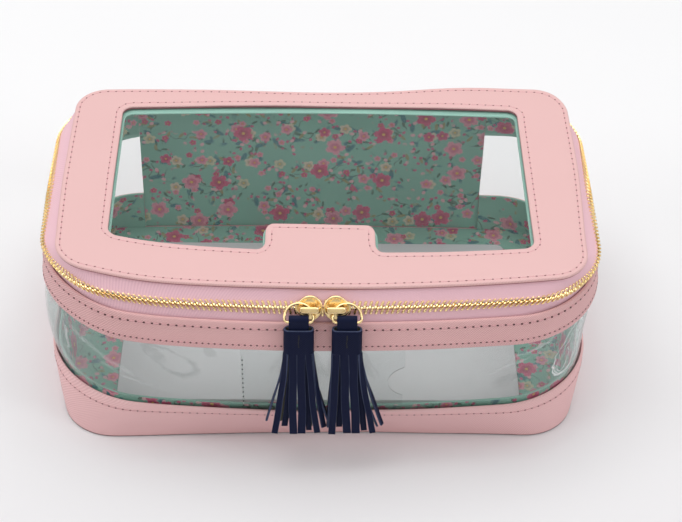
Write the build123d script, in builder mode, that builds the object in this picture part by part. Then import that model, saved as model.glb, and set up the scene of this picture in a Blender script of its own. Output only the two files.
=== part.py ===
"""Clear-sided zip bag for game tiles: leather frame, clear windows, lined back, two tasselled sliders.

Millimetres. +Z up, +X right, the front faces -Y, and the origin is the middle of the underside.
"""

import os
from math import acos, asin, atan2, cos, degrees, hypot, radians, sin

from build123d import *

# The stack of bands, from the floor up.
base_band_rise = 23.0
window_rise = 46.0
upper_band_rise = 13.0
lower_tape_rise = 6.0
upper_tape_rise = 9.0

band_height = base_band_rise
window_height = band_height + window_rise
seam_height = window_height + upper_band_rise
zip_height = seam_height + lower_tape_rise
lid_height = zip_height + upper_tape_rise

# The bag's plan outline at each height: width, reach to the front and to the back, corner radii.
base_width = 254.0
base_front = 78.0
base_back = 79.0
base_front_corner = 24.0
base_back_corner = 18.0

band_width = 268.0
band_front = 84.0
band_back = 82.0
band_front_corner = 50.0
band_back_corner = 38.0

window_width = 270.0
window_front = 89.0
window_back = 82.0

seam_width = 268.0
seam_front = 84.0
seam_back = 81.0
seam_front_corner = 48.0

zip_width = 267.0
zip_front = 79.5
zip_back = 79.0
zip_front_corner = 40.0
zip_back_corner = 36.0

lid_width = 252.0
lid_front = 75.0
lid_back = 77.0
lid_front_corner = 18.0
lid_back_corner = 16.0

front_bow_radius = 830.0
base_bow_radius = 6000.0
side_bow_radius = 3000.0
back_bow_radius = 3000.0

# Sheet thicknesses, and how the layers are tucked behind each other.
leather = 1.8
clear_sheet = 0.6
lining = 0.6
tape = 0.6
layer_gap = 0.1
base_thickness = 2.0
window_tuck = 6.0
tape_tuck = 6.0
lining_lip = 2.0
lining_head_room = 1.5
back_panel_width = 184.0
back_panel_shift = -4.0
back_panel_gap_to_lid = 1.0
hinge_strip_height = 7.0
hinge_strip_thickness = 1.0

# Lid: a leather frame round a clear pane, with a square tab that reaches into the pane.
lid_leather = 2.0
pane_width = 202.0
pane_front = 44.0
pane_front_bow = 6.4
pane_back = 60.0
pane_back_bow = 2.5
pane_corner = 5.0
tab_width = 52.0
tab_depth = 19.4
tab_corner = 4.0
pane_overlap = 6.0
lid_lining = 0.8
lid_edge_step = 1.0
back_strip_gap = 1.5

# Inside: the loose board on the floor and the card pocket behind the front window.
board_width = 202.0
board_front = 58.5
board_back = 60.0
board_thickness = 2.0
board_corner = 4.0
pocket_left = -37.0
pocket_right = 40.0
pocket_head_room = 3.0
pocket_sheet = 0.3
thumb_notch_radius = 11.0
thumb_notch_depth = 7.4
thumb_notch_rise = 19.6

# Metal zip.
tooth_pitch = 2.54
tooth_width = 1.25
tooth_length = 2.0
tooth_thickness = 2.0
row_reach = 3.2
tooth_seat = 0.4
stop_width = 2.4
zip_end_gap = 4.0

# Sliders, which meet head to head a little right of the middle.
meeting_x = 1.3
slider_spacing = 13.2
head_radius = 5.5
head_offset = 0.7
tail_radius = 3.4
tail_offset = 2.9
plate_thickness = 1.0
plate_clearance = 0.4
inner_plate_clearance = 1.0
inner_plate_share = 0.7
post_length = 2.4
post_thickness = 0.6
slider_travel = 72.0
slider_room = 3.0
notch_clearance = 0.8

# Bridge on the slider, the ring that it holds, and how the ring hangs.
bridge_length = 10.0
bridge_shift = 0.5
bridge_width = 3.3
bridge_bar = 1.1
bridge_opening = 4.4
bridge_leg = 1.4
ring_wire = 1.3
ring_width = 13.2
ring_length = 8.8
ring_foot_corner = 1.8
ring_heel_margin = 0.15
ring_shift = 4.4
ring_lean = 20.0
ring_clearance = 0.3

# Tassel: strap round the ring, rolled cap and cut fringe.
strap_width = 9.2
strap_ply = 1.1
strap_clearance = 0.2
tassel_lean = 8.0
tassel_offset = 0.4
cap_start = 3.0
cap_length = 8.0
cap_width = 14.0
cap_depth = 4.8
cap_wall = 0.8
strap_insert = 3.0
strip_count = 7
strip_width = 2.7
strip_thickness = 1.2
fringe_end = 66.0
fringe_inner_spread = 9.6
fringe_outer_spread = 14.0
core_margin = 0.15

os.makedirs("parts", exist_ok=True)


# Plan outlines

bow_centre = front_bow_radius - zip_front
tape_top_height = lid_height - lid_leather - layer_gap


class Level:
    """One plan outline: four slightly bowed sides joined by round corners, all tangent."""

    def __init__(self, height, width, front, back, front_corner, back_corner, front_bow=None):
        self.height = height
        self.half = width / 2
        self.front = front
        self.back = back
        self.front_corner = front_corner
        self.back_corner = back_corner
        self.front_bow = front_bow or bow_centre + front

    def corner(self, end_centre, end_bow, radius):
        """Centre of the round corner between a front or back bow and the right side's bow."""
        side_centre = (self.half - side_bow_radius, 0)
        reach_end = end_bow - radius
        reach_side = side_bow_radius - radius
        across = side_centre[0] - end_centre[0]
        along = side_centre[1] - end_centre[1]
        distance = hypot(across, along)
        aim = atan2(along, across)
        turn = acos((reach_end**2 + distance**2 - reach_side**2) / (2 * reach_end * distance))
        spots = [
            (end_centre[0] + reach_end * cos(aim + way), end_centre[1] + reach_end * sin(aim + way))
            for way in (turn, -turn)
        ]
        return max(spots)

    def arcs(self, inset=0.0):
        """The outline's arcs, anticlockwise from the back left corner; the last is the back."""
        front_centre = (0, self.front_bow - self.front)
        back_centre = (0, self.back - back_bow_radius)
        side_centre = (self.half - side_bow_radius, 0)
        front_spot = self.corner(front_centre, self.front_bow, self.front_corner)
        back_spot = self.corner(back_centre, back_bow_radius, self.back_corner)
        front_turn = bearing(front_centre, front_spot)
        side_low = bearing(side_centre, front_spot)
        side_high = bearing(side_centre, back_spot)
        back_turn = bearing(back_centre, back_spot)
        right = [
            (front_spot, self.front_corner, front_turn, side_low),
            (side_centre, side_bow_radius, side_low, side_high),
            (back_spot, self.back_corner, side_high, back_turn),
        ]
        left = [
            ((-centre[0], centre[1]), radius, 180 - end, 180 - start)
            for centre, radius, start, end in reversed(right)
        ]
        front = (front_centre, self.front_bow, -180 - front_turn, front_turn)
        back = (back_centre, back_bow_radius, back_turn, 180 - back_turn)
        return [
            (centre, radius - inset, start, end - start)
            for centre, radius, start, end in left + [front] + right + [back]
        ]


def bearing(start, end):
    """Direction in degrees from one plan point to another."""
    return degrees(atan2(end[1] - start[1], end[0] - start[0]))


levels = [
    Level(0, base_width, base_front, base_back, base_front_corner, base_back_corner, base_bow_radius),
    Level(band_height, band_width, band_front, band_back, band_front_corner, band_back_corner),
    Level(window_height, window_width, window_front, window_back, band_front_corner, band_back_corner),
    Level(seam_height, seam_width, seam_front, seam_back, seam_front_corner, band_back_corner),
    Level(zip_height, zip_width, zip_front, zip_back, zip_front_corner, zip_back_corner),
    Level(
        tape_top_height,
        lid_width - 2 * lid_edge_step,
        lid_front - lid_edge_step,
        lid_back - lid_edge_step,
        lid_front_corner - lid_edge_step,
        lid_back_corner - lid_edge_step,
    ),
]
lid_level = Level(lid_height, lid_width, lid_front, lid_back, lid_front_corner, lid_back_corner)


def level_at(height):
    """The bag's outline at any height, between the two named outlines around it."""
    above = next((level for level in levels if level.height >= height), levels[-1])
    below = levels[max(levels.index(above) - 1, 0)]
    share = 1.0 if above is below else (height - below.height) / (above.height - below.height)

    def mix(name):
        return getattr(below, name) + share * (getattr(above, name) - getattr(below, name))

    return Level(
        height,
        2 * mix("half"),
        mix("front"),
        mix("back"),
        mix("front_corner"),
        mix("back_corner"),
        mix("front_bow"),
    )


def plan_face(level, height, inset=0.0):
    """The flat face inside one outline, moved inwards by an inset."""
    with BuildSketch(Plane.XY.offset(height)) as plan:
        with BuildLine():
            for centre, radius, start, sweep in level.arcs(inset):
                CenterArc(centre, radius, start, sweep)
        make_face()
    return plan.sketch


window_bottom = band_height - window_tuck
window_top = window_height + window_tuck
fold_heights = sorted([level.height for level in levels] + [window_bottom, window_top])


def wall_faces(low, high, inset):
    """Faces for a wall between two heights, with one at each height where the layers fold."""
    between = [height for height in fold_heights if low < height < high]
    return [plan_face(level_at(height), height, inset) for height in [low, *between, high]]


def wall(low, high, inset, thickness):
    """A band right round the bag between two heights."""
    with BuildPart() as band:
        loft(wall_faces(low, high, inset), ruled=True)
        loft(wall_faces(low, high, inset + thickness), ruled=True, mode=Mode.SUBTRACT)
    return band.part


far = 2 * window_width
back_zone = Pos(back_panel_shift, 0, 0) * Box(
    back_panel_width, far, far, align=(Align.CENTER, Align.MIN, Align.CENTER)
)


def around(band):
    """The front, the sides and the back corners of a band, without the back panel's width."""
    with BuildPart() as piece:
        add(band)
        add(back_zone, mode=Mode.SUBTRACT)
    return piece.part


def behind(band):
    """The stretch of a band across the back panel's width."""
    with BuildPart() as piece:
        add(band)
        add(back_zone, mode=Mode.INTERSECT)
    return piece.part


# How deep each layer lies under the outer skin.
clear_inset = leather + layer_gap
pocket_inset = clear_inset + clear_sheet + layer_gap
lining_inset = pocket_inset + pocket_sheet + layer_gap
floor_top = base_thickness + lining

# Body shell

with BuildPart() as base_panel:
    add(plan_face(levels[0], 0))
    extrude(amount=base_thickness)
base_panel.part.label = "base_panel"
export_step(base_panel.part, "parts/base_panel.step")

with BuildPart() as base_band:
    add(around(wall(base_thickness, band_height, 0, leather)))
base_band.part.label = "base_band"
export_step(base_band.part, "parts/base_band.step")

with BuildPart() as window_band:
    add(around(wall(window_bottom, window_top, clear_inset, clear_sheet)))
window_band.part.label = "window_band"
export_step(window_band.part, "parts/window_band.step")

with BuildPart() as upper_band:
    add(around(wall(window_height, seam_height, 0, leather)))
upper_band.part.label = "upper_band"
export_step(upper_band.part, "parts/upper_band.step")

back_top = zip_height - back_panel_gap_to_lid
with BuildPart() as back_panel:
    add(behind(wall(base_thickness, back_top, 0, leather)))
back_panel.part.label = "back_panel"
export_step(back_panel.part, "parts/back_panel.step")

strip_depth = hinge_strip_thickness + layer_gap
with BuildPart() as hinge_strip:
    add(behind(wall(back_top - hinge_strip_height, back_top, -strip_depth, hinge_strip_thickness)))
hinge_strip.part.label = "back_hinge_strip"
export_step(hinge_strip.part, "parts/back_hinge_strip.step")

# Linings

with BuildPart() as floor_lining:
    add(plan_face(level_at(base_thickness), base_thickness, lining_inset))
    extrude(amount=lining)
floor_lining.part.label = "floor_lining"
export_step(floor_lining.part, "parts/floor_lining.step")

with BuildPart() as base_band_lining:
    add(around(wall(floor_top, band_height + lining_lip, lining_inset, lining)))
base_band_lining.part.label = "base_band_lining"
export_step(base_band_lining.part, "parts/base_band_lining.step")

upper_lining_top = seam_height - lining_head_room
with BuildPart() as upper_band_lining:
    add(around(wall(window_height - lining_lip, upper_lining_top, lining_inset, lining)))
upper_band_lining.part.label = "upper_band_lining"
export_step(upper_band_lining.part, "parts/upper_band_lining.step")

with BuildPart() as back_lining:
    add(behind(wall(floor_top, back_top, clear_inset, lining)))
back_lining.part.label = "back_lining"
export_step(back_lining.part, "parts/back_lining.step")

# Floor board and card pocket

with BuildPart() as floor_board:
    with BuildSketch(Plane.XY.offset(floor_top)):
        with Locations((0, (board_back - board_front) / 2)):
            RectangleRounded(board_width, board_front + board_back, board_corner)
    extrude(amount=board_thickness)
floor_board.part.label = "floor_board"
export_step(floor_board.part, "parts/floor_board.step")

notch_centre = pocket_right - thumb_notch_depth + thumb_notch_radius
pocket_top = window_height - pocket_head_room
thumb_notch_height = band_height + thumb_notch_rise
with BuildPart() as card_pocket:
    add(wall(window_bottom, pocket_top, pocket_inset, pocket_sheet))
    with BuildSketch(Plane.XY):
        with Locations(((pocket_left + pocket_right) / 2, 0)):
            Rectangle(pocket_right - pocket_left, far, align=(Align.CENTER, Align.MAX))
    extrude(amount=lid_height, mode=Mode.INTERSECT)
    with BuildSketch(Plane.XZ):
        with Locations((notch_centre, thumb_notch_height)):
            Circle(thumb_notch_radius)
    extrude(amount=far, mode=Mode.SUBTRACT)
card_pocket.part.label = "card_pocket"
export_step(card_pocket.part, "parts/card_pocket.step")

# Zip tapes: their edges stop where the teeth begin, measured down each tape's own slope.
tape_inset = leather + layer_gap
upper_rise = tape_top_height - zip_height
upper_run = zip_front - (lid_front - lid_edge_step)
lower_rise = zip_height - seam_height
lower_run = seam_front - tape_inset - zip_front
upper_edge = zip_height + row_reach * upper_rise / hypot(upper_rise, upper_run)
lower_edge = zip_height - row_reach * lower_rise / hypot(lower_rise, lower_run)
lower_edge_inset = tape_inset * (zip_height - lower_edge) / lower_rise
chain_lean = atan2(upper_run + lower_run, upper_rise + lower_rise)

slider_reach = (head_radius + head_offset + slider_spacing / 2 + slider_room) * 2
notch_top = zip_height + (head_radius + notch_clearance) * cos(chain_lean)

with BuildPart() as upper_tape:
    add(around(wall(upper_edge, tape_top_height, -tape / 2, tape)))
    with BuildSketch(Plane.XZ):
        with Locations((meeting_x, notch_top)):
            Rectangle(slider_reach, far, align=(Align.CENTER, Align.MAX))
    extrude(amount=far, mode=Mode.SUBTRACT)
upper_tape.part.label = "upper_zip_tape"
export_step(upper_tape.part, "parts/upper_zip_tape.step")


def lower_tape_faces(extra):
    """Faces of the lower tape: tucked behind the leather up to the seam, then out to the teeth."""
    spots = [
        (seam_height - tape_tuck, tape_inset),
        (seam_height, tape_inset),
        (lower_edge, lower_edge_inset),
    ]
    return [plan_face(level_at(height), height, inset + extra) for height, inset in spots]


with BuildPart() as whole_lower_tape:
    loft(lower_tape_faces(0), ruled=True)
    loft(lower_tape_faces(tape), ruled=True, mode=Mode.SUBTRACT)

with BuildPart() as lower_tape:
    add(around(whole_lower_tape.part))
lower_tape.part.label = "lower_zip_tape"
export_step(lower_tape.part, "parts/lower_zip_tape.step")

# Zip teeth


def outline_point(arc, share, height):
    """The point a share of the way along one arc of an outline."""
    centre, radius, start, sweep = arc
    turn = radians(start + share * sweep)
    return Vector(centre[0] + radius * cos(turn), centre[1] + radius * sin(turn), height)


def row_planes(edge_height, edge_inset, shift):
    """A plane at the root of each tooth, up to the back panel: x along the row, y up the tape."""
    line_arcs = level_at(zip_height).arcs()[:-1]
    edge_arcs = level_at(edge_height).arcs(edge_inset)[:-1]
    planes = []
    travelled = shift
    for line_arc, edge_arc in zip(line_arcs, edge_arcs):
        length = line_arc[1] * radians(line_arc[3])
        while travelled < length:
            share = travelled / length
            on_line = outline_point(line_arc, share, zip_height)
            on_edge = outline_point(edge_arc, share, edge_height)
            turn = radians(line_arc[2] + share * line_arc[3])
            along = Vector(-sin(turn), cos(turn), 0)
            up_tape = (on_edge - on_line).normalized()
            seat = on_edge - up_tape * tooth_seat
            if seat.Y < 0 or abs(seat.X - back_panel_shift) > back_panel_width / 2 + zip_end_gap:
                planes.append(Plane(seat, x_dir=along, z_dir=along.cross(up_tape)))
            travelled += tooth_pitch
        travelled -= length
    return planes


def clear_of_sliders(plane):
    """False for a tooth that the sliders cover when they meet."""
    return plane.origin.Y > 0 or abs(plane.origin.X - meeting_x) > slider_reach / 2


upper_row = row_planes(upper_edge, 0, tooth_pitch)
with BuildPart() as upper_teeth:
    with Locations(*[plane for plane in upper_row if clear_of_sliders(plane)]):
        Box(tooth_width, tooth_length, tooth_thickness, align=(Align.CENTER, Align.MAX, Align.CENTER))
upper_teeth.part.label = "upper_zip_teeth"
export_step(upper_teeth.part, "parts/upper_zip_teeth.step")

tape_middle = lower_edge_inset + tape / 2
lower_row = row_planes(lower_edge, tape_middle, 1.5 * tooth_pitch)
with BuildPart() as lower_teeth:
    with Locations(*lower_row[1:-1]):
        Box(tooth_width, tooth_length, tooth_thickness, align=(Align.CENTER, Align.MAX, Align.CENTER))
lower_teeth.part.label = "lower_zip_teeth"
export_step(lower_teeth.part, "parts/lower_zip_teeth.step")

with BuildPart() as zip_stops:
    with Locations(lower_row[0], lower_row[-1]):
        Box(stop_width, tooth_length, tooth_thickness, align=(Align.CENTER, Align.MAX, Align.CENTER))
zip_stops.part.label = "zip_end_stops"
export_step(zip_stops.part, "parts/zip_end_stops.step")

# Lid


def pane_outline(height, grow):
    """The clear pane without its tab, grown all round by an amount. Its front and back are bowed out."""
    side = pane_width / 2 + grow
    front = pane_front + grow
    back = pane_back + grow
    with BuildSketch(Plane.XY.offset(height)) as outline:
        with BuildLine():
            front_edge = ThreePointArc((-side, -front), (0, -front - pane_front_bow), (side, -front))
            back_edge = ThreePointArc((side, back), (0, back + pane_back_bow), (-side, back))
            Line(front_edge @ 1, back_edge @ 0)
            Line(back_edge @ 1, front_edge @ 0)
        make_face()
        fillet(outline.vertices(), pane_corner + grow)
    return outline.sketch


def pane_face(height, grow):
    """The lid's clear opening with its front tab, grown all round by an amount."""
    with BuildSketch(Plane.XY.offset(height)) as opening:
        add(pane_outline(0, grow))
        with Locations((0, -pane_front - pane_front_bow - grow)):
            Rectangle(
                tab_width - 2 * grow,
                tab_depth,
                align=(Align.CENTER, Align.MIN),
                mode=Mode.SUBTRACT,
            )
        tab_corners = opening.vertices().filter_by(lambda vertex: abs(vertex.X) < tab_width)
        fillet(tab_corners, tab_corner)
    return opening.sketch


with BuildPart() as lid_frame:
    add(plan_face(lid_level, lid_height - lid_leather))
    extrude(amount=lid_leather)
    add(pane_face(lid_height - lid_leather, 0))
    extrude(amount=lid_leather, mode=Mode.SUBTRACT)
lid_frame.part.label = "lid_frame"
export_step(lid_frame.part, "parts/lid_frame.step")

pane_top = lid_height - lid_leather
with BuildPart() as lid_window:
    add(pane_outline(pane_top - clear_sheet, pane_overlap))
    extrude(amount=clear_sheet)
lid_window.part.label = "lid_window"
export_step(lid_window.part, "parts/lid_window.step")

lid_lining_top = pane_top - clear_sheet
lid_lining_inset = tape + 2 * lid_edge_step + lid_lining
with BuildPart() as lid_lining_frame:
    add(plan_face(lid_level, lid_lining_top - lid_lining, lid_lining_inset))
    extrude(amount=lid_lining)
    add(pane_face(lid_lining_top - lid_lining, -lid_edge_step))
    extrude(amount=lid_lining, mode=Mode.SUBTRACT)
lid_lining_frame.part.label = "lid_lining"
export_step(lid_lining_frame.part, "parts/lid_lining.step")

with BuildPart() as lid_back_strip:
    add(behind(wall(zip_height + back_strip_gap, tape_top_height, -tape / 2, tape)))
lid_back_strip.part.label = "lid_back_strip"
export_step(lid_back_strip.part, "parts/lid_back_strip.step")

# Sliders, rings and tassels

across_lean = Vector(0, -cos(chain_lean), sin(chain_lean))
plate_low = tooth_thickness / 2 + plate_clearance
plate_high = plate_low + plate_thickness
inner_high = tooth_thickness / 2 + inner_plate_clearance + plate_thickness
bridge_low = plate_high + bridge_opening
wire = ring_wire / 2
heel_up = bridge_width / 2 + wire + ring_clearance
heel_out = plate_high + wire + ring_clearance


def chain_plane(x, lift):
    """A plane on the front run of the zip at an x, facing straight out of the chain."""
    turn = asin(x / front_bow_radius)
    spot = Vector(x, bow_centre - front_bow_radius * cos(turn), zip_height)
    facing = across_lean.rotate(Axis.Z, degrees(turn))
    return Plane(spot + facing * lift, x_dir=(cos(turn), sin(turn), 0), z_dir=facing)


def teardrop(plane, side, scale):
    """The slider's outline: a wide head towards the other slider and a narrow tail."""
    with BuildSketch(plane) as outline:
        with Locations((-side * head_offset, 0)):
            Circle(head_radius * scale)
        with Locations((side * tail_offset, 0)):
            Circle(tail_radius * scale)
        make_hull()
    return outline.sketch


for name, side in (("left", -1), ("right", 1)):
    slider_x = meeting_x + side * slider_spacing / 2
    chain = chain_plane(slider_x, 0)

    with BuildPart() as slider:
        add(teardrop(chain.offset(plate_low), side, 1))
        extrude(amount=plate_thickness)
        add(teardrop(chain.offset(-inner_high), side, inner_plate_share))
        extrude(amount=plate_thickness)
        with BuildSketch(chain.offset(-inner_high)):
            with Locations((-side * (head_offset + head_radius * inner_plate_share / 2), 0)):
                Rectangle(post_length, post_thickness)
        extrude(amount=inner_high + plate_high)
    slider.part.label = f"{name}_slider"
    export_step(slider.part, f"parts/{name}_slider.step")

    bridge_x = -side * bridge_shift
    with BuildPart() as bridge:
        with BuildSketch(chain.offset(plate_high)):
            with Locations((bridge_x, 0)):
                Rectangle(bridge_length, bridge_width)
        extrude(amount=bridge_opening + bridge_bar)
        with BuildSketch(chain.offset(plate_high)):
            with Locations((bridge_x, 0)):
                Rectangle(bridge_length - 2 * bridge_leg, bridge_width)
        extrude(amount=bridge_opening, mode=Mode.SUBTRACT)
    bridge.part.label = f"{name}_slider_bridge"
    export_step(bridge.part, f"parts/{name}_slider_bridge.step")

    # The ring hangs by its round heel on the bridge's leg; its straight bar holds the strap.
    ring_x = side * ring_shift
    lean = radians(ring_lean)
    heel = chain.from_local_coords(Vector(ring_x, heel_up, heel_out))
    down_ring = (chain.z_dir * sin(lean) - chain.y_dir * cos(lean)).normalized()
    ring_plane = Plane(heel, x_dir=chain.x_dir, z_dir=chain.x_dir.cross(down_ring))
    half_ring = ring_width / 2
    heel_radius = half_ring - ring_heel_margin
    ring_corners = [(-half_ring, 0), (half_ring, 0), (half_ring, ring_length), (-half_ring, ring_length)]
    with BuildPart() as ring:
        with BuildLine(ring_plane) as ring_line:
            FilletPolyline(
                *ring_corners,
                radius=[heel_radius, heel_radius, ring_foot_corner, ring_foot_corner],
                close=True,
            )
        with BuildSketch(Plane(ring_line.line @ 0, z_dir=ring_line.line % 0)):
            Circle(wire)
        sweep()
    ring.part.label = f"{name}_ring"
    export_step(ring.part, f"parts/{name}_ring.step")

    # The tassel's own frame: z up its leaning length, y towards the bag, origin on the ring's bar.
    bar = ring_plane.from_local_coords(Vector(0, ring_length, 0))
    tassel = Plane(bar, x_dir=(1, 0, 0), z_dir=(0, sin(radians(tassel_lean)), cos(radians(tassel_lean))))
    side_view = Plane(bar, x_dir=-tassel.y_dir, z_dir=-tassel.x_dir)
    loop_inner = wire + strap_clearance
    loop_outer = loop_inner + strap_ply
    tongue_end = cap_start + strap_insert
    with BuildPart() as strap:
        with BuildSketch(side_view):
            Circle(loop_outer)
            Polygon(
                (-loop_outer, 0),
                (tassel_offset - strap_ply, -cap_start),
                (tassel_offset - strap_ply, -tongue_end),
                (tassel_offset + strap_ply, -tongue_end),
                (tassel_offset + strap_ply, -cap_start),
                (loop_outer, 0),
                align=None,
            )
            Circle(loop_inner, mode=Mode.SUBTRACT)
        extrude(amount=strap_width / 2, both=True)
    strap.part.label = f"{name}_tassel_strap"
    export_step(strap.part, f"parts/{name}_tassel_strap.step")

    cap_plane = tassel.offset(-cap_start)
    with BuildPart() as cap:
        with BuildSketch(cap_plane):
            with Locations((0, -tassel_offset)):
                RectangleRounded(cap_width, cap_depth, cap_depth / 2 - core_margin)
                RectangleRounded(
                    cap_width - 2 * cap_wall,
                    cap_depth - 2 * cap_wall,
                    cap_depth / 2 - cap_wall - core_margin,
                    mode=Mode.SUBTRACT,
                )
        extrude(amount=-cap_length)
    cap.part.label = f"{name}_tassel_cap"
    export_step(cap.part, f"parts/{name}_tassel_cap.step")

    # Fringe: a rolled core inside the cap, cut below it into two layers of fanned strips.
    core_top = tongue_end + core_margin
    core_width = cap_width - 2 * cap_wall - 2 * core_margin
    core_depth = cap_depth - 2 * cap_wall - 2 * core_margin
    core_bottom = cap_start + cap_length + strip_width
    front_view = Plane(bar, x_dir=tassel.x_dir, z_dir=-tassel.y_dir)
    with BuildPart() as fringe:
        with BuildSketch(tassel.offset(-core_top)):
            with Locations((0, -tassel_offset)):
                RectangleRounded(core_width, core_depth, core_depth / 2 - core_margin)
        extrude(amount=core_top - core_bottom)
        for layer, count in ((1, strip_count), (-1, strip_count - 1)):
            with BuildSketch(front_view.offset(tassel_offset)):
                for index in range(count):
                    place = index - (count - 1) / 2
                    root = place * (core_width - strip_width) / (strip_count - 1)
                    spread = fringe_outer_spread if place * side > 0 else fringe_inner_spread
                    tip = place * (2 * spread) / (strip_count - 1)
                    Polygon(
                        (root - strip_width / 2, -core_bottom + strip_width),
                        (tip - strip_width / 2, -fringe_end),
                        (tip + strip_width / 2, -fringe_end),
                        (root + strip_width / 2, -core_bottom + strip_width),
                        align=None,
                    )
            extrude(amount=layer * strip_thickness)
    fringe.part.label = f"{name}_tassel_fringe"
    export_step(fringe.part, f"parts/{name}_tassel_fringe.step")

    print(name, "slider at", [round(v, 3) for v in chain.origin])
    print(name, "ring pivot", [round(v, 3) for v in heel])
    print(name, "tassel pivot", [round(v, 3) for v in bar])

run_angle = degrees(slider_travel / front_bow_radius)
print("slider run turns about y", round(bow_centre, 3), "by", round(run_angle, 3))
print("lid hinge line y, z", max(band_back, window_back) + leather / 2, zip_height)
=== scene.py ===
"""Clear-sided zip bag for game tiles: leather, clear film, printed lining, gilt zip and two tassels.

Shapes are worked out in millimetres and turned into metres where each mesh is made.
+Z up, +X right, the front faces -Y, and the origin is the middle of the underside.
"""

from math import acos, asin, atan2, copysign, cos, exp, hypot, pi, radians, sin, tan

import bmesh
import bpy
from mathutils import Matrix, Vector, noise


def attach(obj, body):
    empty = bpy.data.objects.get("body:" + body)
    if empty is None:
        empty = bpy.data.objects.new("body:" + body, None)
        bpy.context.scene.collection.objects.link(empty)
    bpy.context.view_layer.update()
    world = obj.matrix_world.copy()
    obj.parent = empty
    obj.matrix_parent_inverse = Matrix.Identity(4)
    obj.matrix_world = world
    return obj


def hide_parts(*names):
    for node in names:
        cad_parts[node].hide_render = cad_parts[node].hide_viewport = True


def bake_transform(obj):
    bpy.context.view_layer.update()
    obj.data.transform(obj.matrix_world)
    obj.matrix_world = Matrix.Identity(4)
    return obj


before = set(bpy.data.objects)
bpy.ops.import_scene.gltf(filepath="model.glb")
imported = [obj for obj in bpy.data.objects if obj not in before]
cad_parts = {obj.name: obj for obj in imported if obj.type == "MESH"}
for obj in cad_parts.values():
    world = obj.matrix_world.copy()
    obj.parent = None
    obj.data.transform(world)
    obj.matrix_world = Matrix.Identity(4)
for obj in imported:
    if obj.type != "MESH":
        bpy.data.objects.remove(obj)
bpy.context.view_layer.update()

MM = 0.001

# Radii of the bowed sides, the front's reach at the zip and seam, heights, and the lid's thickness.
FRONT_BOW = 830.0
BASE_BOW = 6000.0
SIDE_BOW = 3000.0
BACK_BOW = 3000.0
ZIP_FRONT = 79.5
SEAM_FRONT = 84.0
BOW_CENTRE = FRONT_BOW - ZIP_FRONT
LID_TOP = 97.0
LID_LEATHER = 2.0
BAND_TOP = 23.0
WINDOW_TOP = 69.0
SEAM = 82.0
ZIP = 88.0
TAPE_TOP = LID_TOP - LID_LEATHER - 0.1

# Thickness and inset of the layers, the hems' depth, and the edges of the back panel.
LEATHER = 1.8
FILM = 0.6
LINING = 0.6
HEM_DEEP = 2.6
FILM_INSET = 1.9
POCKET_INSET = 2.6
LINING_INSET = 3.0
TAPE = 0.6
PANEL_LEFT = -96.0
PANEL_RIGHT = 88.0

# Lid opening with its tab.
PANE_HALF = 101.0
PANE_FRONT = -44.0
PANE_FRONT_BOW = 6.4
PANE_BACK = 60.0
PANE_BACK_BOW = 2.5
PANE_SKEW = 0.028
PANE_CORNER = 5.0
TAB_HALF = 26.0
TAB_REACH = -31.0
TAB_CORNER = 4.0

# Card pocket behind the front window, and the floor board.
POCKET_LEFT = -37.0
POCKET_RIGHT = 40.0
POCKET_LOW = 18.0
POCKET_TOP = 66.0
NOTCH_RADIUS = 11.0
NOTCH_CENTRE = (43.6, 42.6)
BOARD_HALF = 101.0
BOARD_FRONT = -58.5
BOARD_BACK = 60.0

# Zip, sliders, rings and tassels.
PITCH = 2.54
ROW_REACH = 3.2
CORD_REACH = 0.95
LOWER_RUN = SEAM_FRONT - FILM_INSET - ZIP_FRONT
UPPER_RUN = 5.5
STOP_ROOM = 4.0
MEETING_X = 1.3
MEETING_REACH = 2.6
MEETING_GAP = 0.9
SLIDER_SPACING = 13.2
HEAD_RADIUS = 5.8
HEAD_UP = 0.35
HEAD_OFFSET = 0.7
TAIL_RADIUS = 3.4
TAIL_OFFSET = 2.9
PLATE_HIGH = 2.4
RING_SHIFT = 4.4
RING_LENGTH = 8.8
RING_LEAN = radians(20)
HEEL_UP = 2.6
HEEL_OUT = PLATE_HIGH + 0.95
TASSEL_LEAN = radians(8)
WIRE = 0.65
RING_HALF = 6.6
RING_HEEL = 6.45
RING_FOOT = 1.8


def rgb(red, green, blue):
    """A colour from 8-bit screen values."""
    def linear(value):
        share = value / 255
        return share / 12.92 if share < 0.04045 else ((share + 0.055) / 1.055) ** 2.4
    return (linear(red), linear(green), linear(blue), 1.0)


# Plan outlines


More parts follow.
